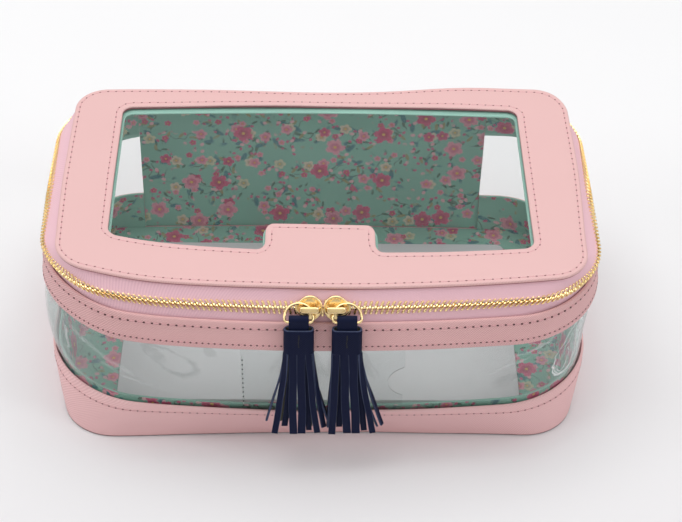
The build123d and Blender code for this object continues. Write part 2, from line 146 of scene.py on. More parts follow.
class Outline:
    """Four slightly bowed sides joined by round corners."""

    def __init__(self, height, half, front, back, front_corner, back_corner, front_bow=None):
        self.values = (height, half, front, back, front_corner, back_corner,
                       front_bow or BOW_CENTRE + front)

    def corner(self, end_centre, end_bow, radius):
        """Centre of the round corner between a front or back bow and the right side's bow."""
        side_x = self.values[1] - SIDE_BOW
        reach_end = end_bow - radius
        reach_side = SIDE_BOW - radius
        across = side_x - end_centre[0]
        along = -end_centre[1]
        distance = hypot(across, along)
        aim = atan2(along, across)
        turn = acos((reach_end**2 + distance**2 - reach_side**2) / (2 * reach_end * distance))
        return max(
            (end_centre[0] + reach_end * cos(aim + way), end_centre[1] + reach_end * sin(aim + way))
            for way in (turn, -turn)
        )

    def arcs(self, inset=0.0):
        """Eight arcs (centre, radius, start, sweep), anticlockwise from the back left corner."""
        height, half, front, back, front_corner, back_corner, front_bow = self.values
        front_centre = (0, front_bow - front)
        back_centre = (0, back - BACK_BOW)
        side_centre = (half - SIDE_BOW, 0)
        front_spot = self.corner(front_centre, front_bow, front_corner)
        back_spot = self.corner(back_centre, BACK_BOW, back_corner)
        front_turn = bearing(front_centre, front_spot)
        side_low = bearing(side_centre, front_spot)
        side_high = bearing(side_centre, back_spot)
        back_turn = bearing(back_centre, back_spot)
        right = [
            (front_spot, front_corner, front_turn, side_low),
            (side_centre, SIDE_BOW, side_low, side_high),
            (back_spot, back_corner, side_high, back_turn),
        ]
        left = [((-c[0], c[1]), r, pi - end, pi - start) for c, r, start, end in reversed(right)]
        front_arc = (front_centre, front_bow, -pi - front_turn, front_turn)
        back_arc = (back_centre, BACK_BOW, back_turn, pi - back_turn)
        return [(c, r - inset, start, end - start) for c, r, start, end in
                left + [front_arc] + right + [back_arc]]


def bearing(start, end):
    """Direction from one plan point to another."""
    return atan2(end[1] - start[1], end[0] - start[0])


# Height, half width, reach to front and back, front and back corner radii, and the front's bow.
LEVELS = [
    Outline(0, 127, 78, 79, 24, 18, BASE_BOW),
    Outline(BAND_TOP, 134, 84, 82, 50, 38),
    Outline(WINDOW_TOP, 135, 89, 82, 50, 38),
    Outline(SEAM, 134, SEAM_FRONT, 81, 48, 38),
    Outline(ZIP, 133.5, ZIP_FRONT, 79, 40, 36),
    Outline(TAPE_TOP, 125, 74, 76, 17, 15),
]
LID = Outline(LID_TOP, 126, 75, 77, 18, 16)


def level_at(height):
    """The bag's outline at any height, between the two named outlines around it."""
    above = next((level for level in LEVELS if level.values[0] >= height), LEVELS[-1])
    below = LEVELS[max(LEVELS.index(above) - 1, 0)]
    low, high = below.values[0], above.values[0]
    share = 1.0 if above is below else (height - low) / (high - low)
    return Outline(*[a + share * (b - a) for a, b in zip(below.values, above.values)])


CORNER_STEPS = 18
SIDE_STEPS = 26
FRONT_STEPS = 96
BACK_STEPS = 60
ARC_STEPS = [CORNER_STEPS, SIDE_STEPS, CORNER_STEPS, FRONT_STEPS, CORNER_STEPS, SIDE_STEPS, CORNER_STEPS]


def ring(height, inset, stretch):
    """Points round the bag: 'whole', 'around' without the back panel, or 'behind' for it alone."""
    arcs = level_at(height).arcs(inset)
    centre, radius, start, sweep = arcs.pop()
    right_edge = acos(PANEL_RIGHT / radius)
    left_edge = acos(PANEL_LEFT / radius)
    if stretch == "behind":
        arcs = [(centre, radius, right_edge, left_edge - right_edge)]
        steps = [BACK_STEPS]
    elif stretch == "around":
        arcs = ([(centre, radius, left_edge, start + sweep - left_edge)] + arcs
                + [(centre, radius, start, right_edge - start)])
        steps = [4] + ARC_STEPS + [4]
    else:
        arcs = arcs + [(centre, radius, start, sweep)]
        steps = ARC_STEPS + [BACK_STEPS]
    points = []
    for arc, count in zip(arcs, steps):
        points += [on_arc(arc, step / count, height) for step in range(count)]
    if stretch != "whole":
        points.append(on_arc(arcs[-1], 1, height))
    return points


def on_arc(arc, share, height):
    """The point a share of the way along one arc."""
    centre, radius, start, sweep = arc
    turn = start + share * sweep
    return Vector((centre[0] + radius * cos(turn), centre[1] + radius * sin(turn), height))


def front_point(x, height, inset):
    """The point at an x on the front bow, at a height and an inset."""
    centre, radius = level_at(height).arcs(inset)[3][:2]
    return Vector((x, centre[1] - (radius**2 - x * x) ** 0.5, height))


# Mesh making


class Shape:
    """Points, faces, surface coordinates and material picks of one mesh, in millimetres."""

    def __init__(self):
        self.points = []
        self.faces = []
        self.surface = []
        self.picks = []

    def face(self, corners, surface, pick=0):
        self.faces.append(corners)
        self.surface.append(surface)
        self.picks.append(pick)

    def grid(self, rows, loop_rows=False, loop_columns=False, picks=None, origin=(0.0, 0.0)):
        """Quads over rows of points, with surface coordinates in millimetres along and across."""
        first = len(self.points)
        wide = len(rows[0])
        for row in rows:
            self.points += row
        middle = rows[len(rows) // 4]
        along = [origin[0]]
        for column in range(wide):
            along.append(along[-1] + (middle[(column + 1) % wide] - middle[column]).length)
        centre = wide // 2
        across = [origin[1]]
        for index in range(len(rows)):
            following = rows[(index + 1) % len(rows)]
            across.append(across[-1] + (following[centre] - rows[index][centre]).length)
        for index in range(len(rows) if loop_rows else len(rows) - 1):
            low = first + index * wide
            high = first + (index + 1) % len(rows) * wide
            for column in range(wide if loop_columns else wide - 1):
                beyond = (column + 1) % wide
                u, v = (along[column], along[column + 1]), (across[index], across[index + 1])
                self.face(
                    (low + column, low + beyond, high + beyond, high + column),
                    ((u[0], v[0]), (u[1], v[0]), (u[1], v[1]), (u[0], v[1])),
                    picks[index] if picks else 0,
                )
        return first

    def lid_over(self, corners, pick=0):
        """One flat face over points that are already in the mesh."""
        self.face(tuple(corners), tuple((self.points[i].x, self.points[i].y) for i in corners), pick)

    def frame(self, rows, loop_rows=False, picks=None):
        """Quads over closed rows of points, with plan surface coordinates."""
        first, wide = len(self.points), len(rows[0])
        for row in rows:
            self.points += row
        for index in range(len(rows) if loop_rows else len(rows) - 1):
            low, high = first + index * wide, first + (index + 1) % len(rows) * wide
            for column in range(wide):
                beyond = (column + 1) % wide
                self.lid_over([low + column, low + beyond, high + beyond, high + column],
                              picks[index] if picks else 0)
        return first

    def cover(self, first, rows):
        """Flat faces over the first and the last of a grid's closed rows."""
        for index in (0, len(rows) - 1):
            start = first + index * len(rows[0])
            self.lid_over(range(start, start + len(rows[0])))

    def two_sided(self, faces):
        """A thin sheet, from the rows of its two sides."""
        rows = faces[0] + faces[1][::-1]
        self.close_ends(self.grid(rows, loop_rows=True), len(rows), len(rows[0]))

    def close_ends(self, first, row_count, wide, pick=0, turn=0):
        """Caps on the ends of a grid of closed sections, each a strip of quads from one side to the other."""
        for column in (0, wide - 1):
            for index in range((row_count - 1) // 2):
                mirror = row_count - 1 - index
                rows = [(row - turn) % row_count for row in (index, index + 1, mirror - 1, mirror)]
                self.lid_over(list(dict.fromkeys(first + row * wide + column for row in rows)), pick)

    def solid(self, sections, pick=0, side_picks=None):
        """A closed form through a list of closed sections, capped at both ends."""
        wide = len(sections[0])
        columns = [[section[i] for section in sections] for i in range(wide)]
        first = self.grid(columns, loop_rows=True, picks=side_picks)
        self.close_ends(first, wide, len(sections), pick)

    def piece(self, name, materials, body, slot, replaces=(), smooth_angle=40.0):
        """The finished object, riding on its body."""
        mesh = bpy.data.meshes.new(name)
        mesh.from_pydata([point * MM for point in self.points], [], self.faces)
        for material in materials:
            mesh.materials.append(material)
        layer = mesh.uv_layers.new(name="Surface")
        spots = [spot for face in self.surface for spot in face]
        for loop_spot, spot in zip(layer.data, spots):
            loop_spot.uv = spot
        mesh.polygons.foreach_set("material_index", self.picks)
        work = bmesh.new()
        work.from_mesh(mesh)
        wide_faces = [face for face in work.faces if len(face.verts) > 4]
        bmesh.ops.triangulate(work, faces=wide_faces, ngon_method="EAR_CLIP")
        bmesh.ops.recalc_face_normals(work, faces=work.faces)
        work.to_mesh(mesh)
        work.free()
        mesh.shade_smooth()
        mesh.set_sharp_from_angle(angle=radians(smooth_angle))
        made = bpy.data.objects.new(name, mesh)
        bpy.context.scene.collection.objects.link(made)
        if isinstance(body, str):
            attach(made, body)
        else:
            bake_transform(made)
        if replaces:
            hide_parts(*replaces)
        return made


def clamped(value):
    """A value held between 0 and 1."""
    return max(0.0, min(1.0, value))


def hill(*offsets):
    """1 at a place and softly less around it, from distances in parts of its reach."""
    return exp(-sum(offset**2 for offset in offsets))


def pairs(points):
    """Each point of a closed loop with the one that follows it."""
    return zip(points, points[1:] + points[:1])


def heading(path, index):
    """The way an open path runs at one of its points."""
    return path[min(index + 1, len(path) - 1)] - path[max(index - 1, 0)]


def wander(point, size, depth, seed=0.0):
    """Smooth unevenness: a length that drifts over a surface."""
    return depth * noise.noise(point / size + Vector((seed, 2.3 * seed, -seed)))


# Unevenness of each wall: depth, size and seed.
BASE_WANDER = (0.45, 38.0, 1.0)
BAND_WANDER = (0.3, 38.0, 2.0)
BACK_WANDER = (0.45, 38.0, 3.0)
FILM_WANDER = (0.9, 30.0, 4.0)
LINING_WANDER = (0.2, 38.0, 5.0)
MIDDLE = Vector((0, 0, 45))
# The slack front left corner's place, reach and give, and the foot's hollow, spread and lean.
SLACK_X = -126.0
SLACK_REACH = 30.0
SLACK = Vector((1.0, 6.0, 0.0))
FOOT_HOLLOW = 1.7
FOOT_SPREAD = 3.4
FOOT_LEAN = 1.2


def slumped(point):
    """A point as it stands at the soft front left corner, pushed in a little."""
    near = hill((point.x - SLACK_X) / SLACK_REACH) * clamped(-point.y / 50)
    return point + SLACK * (near * min(1.0, 0.15 + point.z / 90))


def settled(point):
    """A point of the walls' foot as it stands: hollow at the front's middle, forward at its corners."""
    if point.y > 0 or point.z > BAND_TOP:
        return point
    aside = max(-1.0, min(1.0, point.x / 100))
    forward = FOOT_SPREAD * aside**2 - FOOT_HOLLOW - FOOT_LEAN * aside
    fade = (1 - max(point.z, 0) / BAND_TOP) * min(1.0, -point.y / 60)
    return point - Vector((0, forward * fade, 0))


def eased(point, depth=0.0, size=38.0, seed=0.0):
    """A wall point with the wall's soft unevenness."""
    away = (point - MIDDLE).normalized()
    return slumped(settled(point)) + away * wander(point, size, depth, seed)


def wall(height, inset, stretch, unevenness=()):
    """Points of the bag's wall at a height, as they stand."""
    return [eased(point, *unevenness) for point in ring(height, inset, stretch)]


def sweep(profile, stretch, unevenness=(), picks=None, turn=2, extra=None):
    """A closed section of (height, inset) points carried round the bag, with surface zero at the front."""
    shape = Shape()
    rows = []
    for height, inset in profile:
        row = wall(height, inset, stretch, unevenness)
        rows.append([extra(point) for point in row] if extra else row)
    whole = stretch == "whole"
    middle = rows[len(rows) // 4]
    shape.around = sum((b - a).length for a, b in zip(middle, middle[1:]))
    origin = (-shape.around / 2, min(height for height, inset in profile))
    first = shape.grid(rows, loop_rows=True, loop_columns=whole, picks=picks, origin=origin)
    if not whole:
        shape.close_ends(first, len(rows), len(rows[0]), turn=turn)
    return shape


def edge_picks(section, low, high):
    """Material picks for a section: 1 on its low end, and on the inner part of its high edge, where the dark
    edge material is both the cut edge and a painted shadow line.
    """
    inner = 0.62 * LEATHER
    return [int(min(a[0], b[0]) > high and max(a[1], b[1]) > inner or max(a[0], b[0]) < low)
            for a, b in pairs(section)]


def slab(low, high, inset, thickness, rounding=0.5, step=3.5, folds=()):
    """Section of a sheet from a low to a high edge, with rounded edges, outside first."""
    r = min(rounding, thickness / 2)
    ease = 0.3 * r
    count = max(2, round((high - low) / step))
    heights = sorted({round(low + r + (high - low - 2 * r) * k / count, 3) for k in range(count + 1)}
                     | {fold for fold in folds if low + r < fold < high - r})
    outside = [(height, inset) for height in heights]
    top = [(high - ease, inset + ease), (high, inset + r), (high, inset + thickness - r),
           (high - ease, inset + thickness - ease)]
    inside = [(height, inset + thickness) for height in reversed(heights)]
    bottom = [(low + ease, inset + thickness - ease), (low, inset + thickness - r), (low, inset + r),
              (low + ease, inset + ease)]
    return outside + top + inside + bottom


def rounded(corners, arc_steps, run_steps):
    """Points round a closed path of corners (x, y, radius), each corner's arc and then its run."""
    count = len(corners)
    ends = []
    for index, (x, y, radius) in enumerate(corners):
        spot = Vector((x, y))
        before = (spot - Vector(corners[index - 1][:2])).normalized()
        after = (Vector(corners[(index + 1) % count][:2]) - spot).normalized()
        turn = before.angle_signed(after)
        reach = radius * tan(abs(turn) / 2)
        start = spot - before * reach
        centre = spot + (after - before).normalized() * (radius / cos(turn / 2))
        arc = []
        for step in range(arc_steps[index] + 1):
            way = Matrix.Rotation(-turn * step / arc_steps[index], 2)
            arc.append(centre + way @ (start - centre))
        ends.append(arc)
    points = []
    for index, arc in enumerate(ends):
        points += arc[:-1]
        onward = ends[(index + 1) % count][0]
        steps = run_steps[index]
        points += [arc[-1].lerp(onward, step / steps) for step in range(steps)]
    return points


def along_path(path, sides, section, widths=None):
    """Sections of (across, out) points carried along a path, across its fixed side direction."""
    sections = []
    for index, spot in enumerate(path):
        side = sides[index].normalized()
        out = side.cross(heading(path, index).normalized()).normalized()
        width, depth = widths[index] if widths else (1.0, 1.0)
        sections.append([spot + side * (a * width) + out * (b * depth) for a, b in section])
    return sections


def strap_section(width, thickness, bevel):
    """Flat section with rounded edges, starting on its outer face."""
    w, t = width / 2, thickness / 2
    return [(-w + bevel, t), (-w / 3, t), (w / 3, t), (w - bevel, t), (w, t - bevel), (w, bevel - t),
            (w - bevel, -t), (w / 3, -t), (-w / 3, -t), (-w + bevel, -t), (-w, bevel - t), (-w, t - bevel)]


# Materials


def new_material(name):
    """An empty node material, and its tree."""
    material = bpy.data.materials.new(name)
    material.use_nodes = True
    material.node_tree.nodes.clear()
    return material, material.node_tree


def node(tree, kind, links=None, **settings):
    """A node with its settings, and its inputs set to values or linked to sockets."""
    made = tree.nodes.new("ShaderNode" + kind)
    for key, value in settings.items():
        setattr(made, key, value)
    for key, value in (links or {}).items():
        if isinstance(value, bpy.types.NodeSocket):
            tree.links.new(value, made.inputs[key])
        else:
            made.inputs[key].default_value = value
    return made


def sums(tree, operation, *values):
    """A Math node's result."""
    return node(tree, "Math", dict(enumerate(values)), operation=operation).outputs[0]


def plus(tree, first, second):
    """The sum of two values."""
    return sums(tree, "ADD", first, second)


def times(tree, first, second):
    """The product of two values."""
    return sums(tree, "MULTIPLY", first, second)


def vectors(tree, operation, first, second=None):
    """A VectorMath node; its first output is the vector."""
    values = {0: first} if second is None else {0: first, 1: second}
    return node(tree, "VectorMath", values, operation=operation).outputs


def mixed(tree, factor, first, second):
    """A colour mix."""
    return node(tree, "Mix", {0: factor, 6: first, 7: second}, data_type="RGBA").outputs[2]


def spread(tree, value, low, high, start=0.0, end=1.0):
    """A value's range carried onto another one, clamped."""
    return node(tree, "MapRange", {"Value": value, "From Min": low, "From Max": high,
                                   "To Min": start, "To Max": end}).outputs[0]


def surface(tree):
    """Surface coordinates in millimetres."""
    return node(tree, "UVMap", uv_map="Surface").outputs[0]


def solid_spot(tree):
    """Object coordinates in millimetres."""
    spot = node(tree, "TexCoord").outputs["Object"]
    return vectors(tree, "MULTIPLY", spot, (1 / MM, 1 / MM, 1 / MM))[0]


def clouds(tree, spot, scale, detail=3.0, rough=0.55):
    """Noise by feature size in 1 / millimetres."""
    return node(tree, "TexNoise", {"Vector": spot, "Scale": scale, "Detail": detail,
                                   "Roughness": rough}).outputs["Fac"]


def ridges(tree, spot, angle, pitch, distortion=0.6):
    """Parallel ridges at an angle, one each pitch, a little uneven."""
    turned = node(tree, "Mapping", {"Vector": spot, "Rotation": (0, 0, angle)}).outputs[0]
    wave = node(tree, "TexWave", {"Vector": turned, "Scale": 0.314 / pitch, "Distortion": distortion,
                                  "Detail": 2.0, "Detail Scale": 1.4 * pitch}, bands_direction="X")
    return wave.outputs["Fac"]


def bump(tree, height, distance):
    """A bump normal; distance in millimetres."""
    return node(tree, "Bump", {"Height": height, "Distance": distance * MM, "Strength": 1.0}).outputs[0]


def finish(material, shader):
    """The material, with a shader linked to its output."""
    output = node(material.node_tree, "OutputMaterial")
    material.node_tree.links.new(shader, output.inputs["Surface"])
    return material


def coated(material, colour, roughness, height, relief, extra=None):
    """The material as one shader, with relief in millimetres and any other inputs."""
    tree = material.node_tree
    links = {"Base Color": colour, "Roughness": roughness, "Normal": bump(tree, height, relief)}
    links.update(extra or {})
    return finish(material, node(tree, "BsdfPrincipled", links).outputs[0])


def cross_hatched(name, light, dark, rough, relief=0.05, hatch=0.85, contrast=1.0, specular=0.42):
    """Embossed leather: fine crossed ridges, soft mottling and a satin finish; painted shade darkens the
    emboss's valleys and painted highlight lightens its ridges.
    """
    material, tree = new_material(name)
    spot = surface(tree)
    leaning = ridges(tree, spot, radians(50), hatch, 0.35)
    crossing = ridges(tree, spot, radians(-42), hatch * 0.85, 0.35)
    weave = plus(tree, times(tree, leaning, 0.62), times(tree, crossing, 0.38))
    grain = clouds(tree, spot, 1.3, 4.0)
    height = plus(tree, weave, times(tree, grain, 0.4))
    mottle = clouds(tree, solid_spot(tree), 0.02, 3.0)
    # Painted shade and highlight: the emboss's valleys take the dark tone, its ridges the light one.
    painted_emboss_shade = spread(tree, height, 0.35, 1.0, 1.0 - contrast, 1.0)
    colour = mixed(tree, painted_emboss_shade, dark, light)
    colour = mixed(tree, spread(tree, mottle, 0.35, 0.7, 0.0, 0.18), colour, dark)
    shine = spread(tree, height, 0.4, 1.1, rough + 0.12, rough - 0.05)
    return coated(material, colour, shine, height, relief, {"Specular IOR Level": specular})


def plain_leather_edge(name, colour, deep):
    """A cut edge or flesh side: matt, fibrous; darker copies also serve as painted shade in stitch holes and
    as painted shadow lines along edges.
    """
    material, tree = new_material(name)
    fibre = clouds(tree, solid_spot(tree), 2.2, 5.0, 0.7)
    tone = mixed(tree, spread(tree, fibre, 0.3, 0.7), deep, colour)
    return coated(material, tone, spread(tree, fibre, 0.3, 0.7, 0.95, 0.8), fibre, 0.08)


def twill(name, light, dark):
    """Woven zip tape: diagonal twill lines over fine threads."""
    material, tree = new_material(name)
    spot = surface(tree)
    diagonal = ridges(tree, spot, radians(52), 0.9, 0.6)
    threads = ridges(tree, spot, radians(-30), 0.6, 0.5)
    height = plus(tree, times(tree, diagonal, 0.7), times(tree, threads, 0.3))
    fuzz = clouds(tree, spot, 3.0, 3.0)
    colour = mixed(tree, spread(tree, height, 0.1, 1.0), dark, light)
    colour = mixed(tree, spread(tree, fuzz, 0.4, 0.8, 0.0, 0.3), colour, dark)
    return coated(material, colour, spread(tree, fuzz, 0.2, 0.8, 0.9, 0.75), height, 0.04,
                  {"Sheen Weight": 0.25, "Sheen Roughness": 0.4})


def gilt():
    """Polished light gold with faint scratches and handled patches."""
    material, tree = new_material("gilt")
    spot = solid_spot(tree)
    scratch = node(tree, "Mapping", {"Vector": spot, "Scale": (0.5, 3.0, 3.0)}).outputs[0]
    lines = clouds(tree, scratch, 2.4, 4.0, 0.7)
    patches = clouds(tree, spot, 0.35, 3.0)
    colour = mixed(tree, patches, rgb(240, 208, 144), rgb(249, 226, 176))
    shine = plus(tree, spread(tree, patches, 0.3, 0.7, 0.12, 0.24),
                 spread(tree, lines, 0.45, 0.75, 0.0, 0.08))
    return coated(material, colour, shine, lines, 0.012, {"Metallic": 1.0})


def painted_crease_mask(tree, spot, centre, reach, tilt, pear, width):
    """Mask for the painted highlights and dark reflections of creases: 1 along a pear-shaped loop on the
    sheet, or all over it where the width is 0.
    """
    offset = vectors(tree, "SUBTRACT", spot, (*centre, 0))[0]
    turned = node(tree, "VectorRotate", {"Vector": offset, "Angle": radians(-tilt)},
                  rotation_type="Z_AXIS").outputs[0]
    parts = node(tree, "SeparateXYZ", {0: turned})
    y = sums(tree, "DIVIDE", parts.outputs[1], reach[1])
    taper = sums(tree, "MAXIMUM", sums(tree, "SUBTRACT", 1.0, times(tree, y, pear)), 0.1)
    x = sums(tree, "DIVIDE", sums(tree, "DIVIDE", parts.outputs[0], reach[0]), taper)
    rim = vectors(tree, "LENGTH", node(tree, "CombineXYZ", {0: x, 1: y}).outputs[0])["Value"]
    if not width:
        return spread(tree, rim, 1.1, 0.6)
    off = sums(tree, "ABSOLUTE", sums(tree, "SUBTRACT", rim, 1.0))
    return spread(tree, off, width / min(reach), 0.2 * width / min(reach))


def clear_film(name, tint, haze, wrinkle=0.5, painted_creases=()):
    """Clear plastic sheet: see-through face on, glossy at a glance, with soft waves in it, and painted
    highlights and dark reflections of its creases.
    """
    material, tree = new_material(name)
    spot = solid_spot(tree)
    stretched = node(tree, "Mapping", {"Vector": spot, "Scale": (1.0, 1.0, 0.55)}).outputs[0]
    waves = clouds(tree, stretched, 0.03, 1.0, 0.4)
    ripples = clouds(tree, stretched, 0.12, 1.0, 0.4)
    height = plus(tree, waves, times(tree, ripples, 0.1))
    normal = bump(tree, height, 6.0 * wrinkle)
    facing = node(tree, "LayerWeight", {"Blend": 0.5, "Normal": normal}).outputs["Facing"]
    mirror = plus(tree, times(tree, sums(tree, "POWER", facing, 4.0), 0.9), haze)
    scuff = clouds(tree, spot, 0.09, 4.0, 0.6)
    gloss = node(tree, "BsdfPrincipled", {
        "Base Color": rgb(236, 242, 242), "Roughness": spread(tree, scuff, 0.4, 0.8, 0.06, 0.13),
        "Specular IOR Level": 0.5, "Metallic": 0.6, "Normal": normal})
    through = node(tree, "BsdfTransparent", {"Color": tint})
    result = node(tree, "MixShader", {0: sums(tree, "MINIMUM", mirror, 0.9), 1: through.outputs[0],
                                      2: gloss.outputs[0]}).outputs[0]
    if painted_creases:
        flat_spot = surface(tree)
        drift = node(tree, "TexNoise", {"Vector": flat_spot, "Scale": 0.12, "Detail": 2.0}).outputs["Color"]
        drift = vectors(tree, "SUBTRACT", drift, (0.5, 0.5, 0.5))[0]
        drift = node(tree, "VectorMath", {0: drift, "Scale": 7.0}, operation="SCALE").outputs[0]
        flat_spot = vectors(tree, "ADD", flat_spot, drift)[0]
        patchy = spread(tree, clouds(tree, flat_spot, 0.09, 2.0), 0.3, 0.6, 0.35, 1.0)
        # Painted highlights and dark reflections of the creases: flat tones mixed over the film along each
        # set of marks.
        for tone, marks in painted_creases:
            total = None
            for *loop, strength in marks:
                mark = times(tree, painted_crease_mask(tree, flat_spot, *loop), strength)
                total = mark if total is None else sums(tree, "MAXIMUM", total, mark)
            pale = node(tree, "BsdfPrincipled", {"Base Color": tone, "Roughness": 0.3})
            result = node(tree, "MixShader", {0: times(tree, total, patchy), 1: result,
                                              2: pale.outputs[0]}).outputs[0]
    return finish(material, result)


def board_face():
    """Smooth pale board with the faintest mottling."""
    material, tree = new_material("board_face")
    spot = solid_spot(tree)
    mottle = clouds(tree, spot, 0.03, 4.0)
    grain = clouds(tree, spot, 2.0, 3.0)
    return coated(material, mixed(tree, mottle, rgb(206, 206, 208), rgb(221, 220, 222)),
                  spread(tree, grain, 0.3, 0.7, 0.5, 0.65), grain, 0.03)


def motif(tree, spot, cell, seed, randomness=0.75):
    """A scattered motif's own place: offset from its centre, distance, angle and two random values."""
    moved = vectors(tree, "ADD", spot, (seed * 7.7, seed * 3.1, 0.0))[0]
    cells = node(tree, "TexVoronoi", {"Vector": moved, "Scale": 1 / cell, "Randomness": randomness},
                 voronoi_dimensions="2D")
    offset = vectors(tree, "SUBTRACT", moved, cells.outputs["Position"])[0]
    random = node(tree, "SeparateColor", {0: cells.outputs["Color"]})
    turn = times(tree, random.outputs[0], 6.283)
    turned = node(tree, "VectorRotate", {"Vector": offset, "Angle": turn}, rotation_type="Z_AXIS").outputs[0]
    parts = node(tree, "SeparateXYZ", {0: turned})
    distance = vectors(tree, "LENGTH", turned)["Value"]
    angle = sums(tree, "ARCTAN2", parts.outputs[1], parts.outputs[0])
    return parts.outputs[0], parts.outputs[1], distance, angle, random.outputs[1], random.outputs[2]


def inside(tree, value, limit, soft):
    """1 where a value is under a limit, with a soft edge."""
    return spread(tree, sums(tree, "SUBTRACT", limit, value), -soft, soft)


# Leaves and buds: cell, half length and width, colour, seed and the share left out.
SPRIGS = (
    (6.0, 1.9, 0.7, rgb(56, 92, 74), 1.0, 0.35), (7.5, 2.5, 0.9, rgb(150, 142, 96), 2.0, 0.45),
    (9.0, 2.2, 0.8, rgb(62, 122, 126), 9.0, 0.4), (10.5, 3.3, 1.3, rgb(46, 112, 122), 12.0, 0.45),
    (5.0, 1.05, 0.8, rgb(204, 78, 124), 3.0, 0.4), (6.5, 1.3, 1.0, rgb(234, 176, 182), 4.0, 0.45),
)
# Petal colours: strong and soft, each deep and pale, and the veins.
CREAM = (rgb(150, 158, 130), rgb(232, 222, 186), rgb(176, 150, 120), rgb(238, 220, 196), rgb(120, 112, 84))
ROSE = (rgb(172, 36, 88), rgb(228, 84, 132), rgb(208, 92, 128), rgb(242, 170, 184), rgb(148, 34, 80))
# Blossoms: cell, radius, seed, the share left out, and colours.
BLOSSOMS = ((19.0, 3.4, 11.0, 0.4, CREAM), (12.0, 2.0, 8.0, 0.35, ROSE),
            (17.0, 3.4, 6.0, 0.35, ROSE), (24.0, 5.4, 5.0, 0.25, ROSE))


def blossom(tree, spot, colour, cell, size, seed, share, tones):
    """The print with one kind of blossom added: ruffled petals, shaded in rings towards an ochre eye."""
    strong_deep, strong_pale, soft_deep, soft_pale, veins = tones
    _, _, distance, angle, pick, other = motif(tree, spot, cell, seed)
    lobes = sums(tree, "ABSOLUTE", sums(tree, "COSINE", times(tree, angle, 2.5)))
    frill = times(tree, sums(tree, "COSINE", times(tree, angle, 17.0)), 0.05)
    outer = plus(tree, plus(tree, times(tree, lobes, 0.3), 0.68), frill)
    edge = times(tree, outer, size)
    chosen = sums(tree, "GREATER_THAN", pick, share)
    shape = times(tree, inside(tree, distance, edge, 0.18), chosen)
    depth = spread(tree, sums(tree, "DIVIDE", distance, edge), 0.15, 1.0)
    petals = mixed(tree, sums(tree, "GREATER_THAN", other, 0.5),
                   mixed(tree, depth, soft_deep, soft_pale), mixed(tree, depth, strong_deep, strong_pale))
    ringed = sums(tree, "COSINE", plus(tree, times(tree, depth, 13.0), times(tree, lobes, 2.0)))
    vein = sums(tree, "MAXIMUM", spread(tree, lobes, 0.0, 0.2, 0.5, 0.0),
                spread(tree, ringed, 0.45, 0.95, 0.0, 0.4))
    colour = mixed(tree, times(tree, shape, 0.92), colour, mixed(tree, vein, petals, veins))
    eye = times(tree, inside(tree, distance, 0.16 * size, 0.12), chosen)
    return mixed(tree, eye, colour, rgb(222, 178, 92))


def printed_lining():
    """Mint satin with a scattered print of open blossoms, leaves and thin twigs."""
    material, tree = new_material("printed_lining")
    spot = surface(tree)
    mint_light, mint_deep = rgb(138, 190, 172), rgb(118, 172, 154)
    colour = mixed(tree, clouds(tree, spot, 0.03), mint_deep, mint_light)

    # Twigs: thin contour lines of a slow noise, broken up by another one.
    drift = clouds(tree, spot, 0.045, 2.0)
    line = sums(tree, "ABSOLUTE", sums(tree, "SUBTRACT", drift, 0.5))
    broken = spread(tree, clouds(tree, spot, 0.07, 1.0), 0.46, 0.52)
    twig = times(tree, inside(tree, line, 0.006, 0.003), broken)
    colour = mixed(tree, times(tree, twig, 0.75), colour, rgb(66, 84, 70))

    near_twig = spread(tree, line, 0.09, 0.05)
    for cell, long, thin, tone, seed, share in SPRIGS:
        x, y, _, _, pick, _ = motif(tree, spot, cell, seed, 0.95)
        squashed = node(tree, "CombineXYZ", {0: sums(tree, "DIVIDE", x, long),
                                             1: sums(tree, "DIVIDE", y, thin)}).outputs[0]
        shape = inside(tree, vectors(tree, "LENGTH", squashed)["Value"], 1.0, 0.12)
        chosen = times(tree, sums(tree, "GREATER_THAN", pick, share), near_twig)
        colour = mixed(tree, times(tree, shape, times(tree, chosen, 0.85)), colour, tone)

    for flower in BLOSSOMS:
        colour = blossom(tree, spot, colour, *flower)

    weave = plus(tree, ridges(tree, spot, 0.0, 0.35, 0.2), ridges(tree, spot, pi / 2, 0.35, 0.2))
    return coated(material, colour, spread(tree, weave, 0.4, 1.6, 0.62, 0.5), weave, 0.02,
                  {"Sheen Weight": 0.15})


def thread_finish(name, light, dark):
    """Twisted sewing thread."""
    material, tree = new_material(name)
    twist = ridges(tree, solid_spot(tree), radians(35), 0.3, 0.5)
    return coated(material, mixed(tree, twist, dark, light), spread(tree, twist, 0, 1, 0.8, 0.6), twist, 0.04)


def floor_finish():
    """Pale seamless floor with the fall of the lamps' light painted in: lighter towards the back."""
    material, tree = new_material("studio_floor")
    spot = node(tree, "TexCoord").outputs["Object"]
    depth = node(tree, "SeparateXYZ", {0: spot}).outputs[1]
    fine = clouds(tree, solid_spot(tree), 0.01, 2.0)
    # Painted light: the tone brightens towards the back of the floor.
    tone = mixed(tree, spread(tree, depth, -0.25, 0.18), rgb(229, 227, 229), rgb(243, 243, 244))
    tone = mixed(tree, spread(tree, fine, 0.3, 0.7, 0.0, 0.02), tone, rgb(200, 200, 204))
    shader = node(tree, "BsdfPrincipled", {"Base Color": tone, "Roughness": 0.9, "Specular IOR Level": 0.2})
    return finish(material, shader.outputs[0])
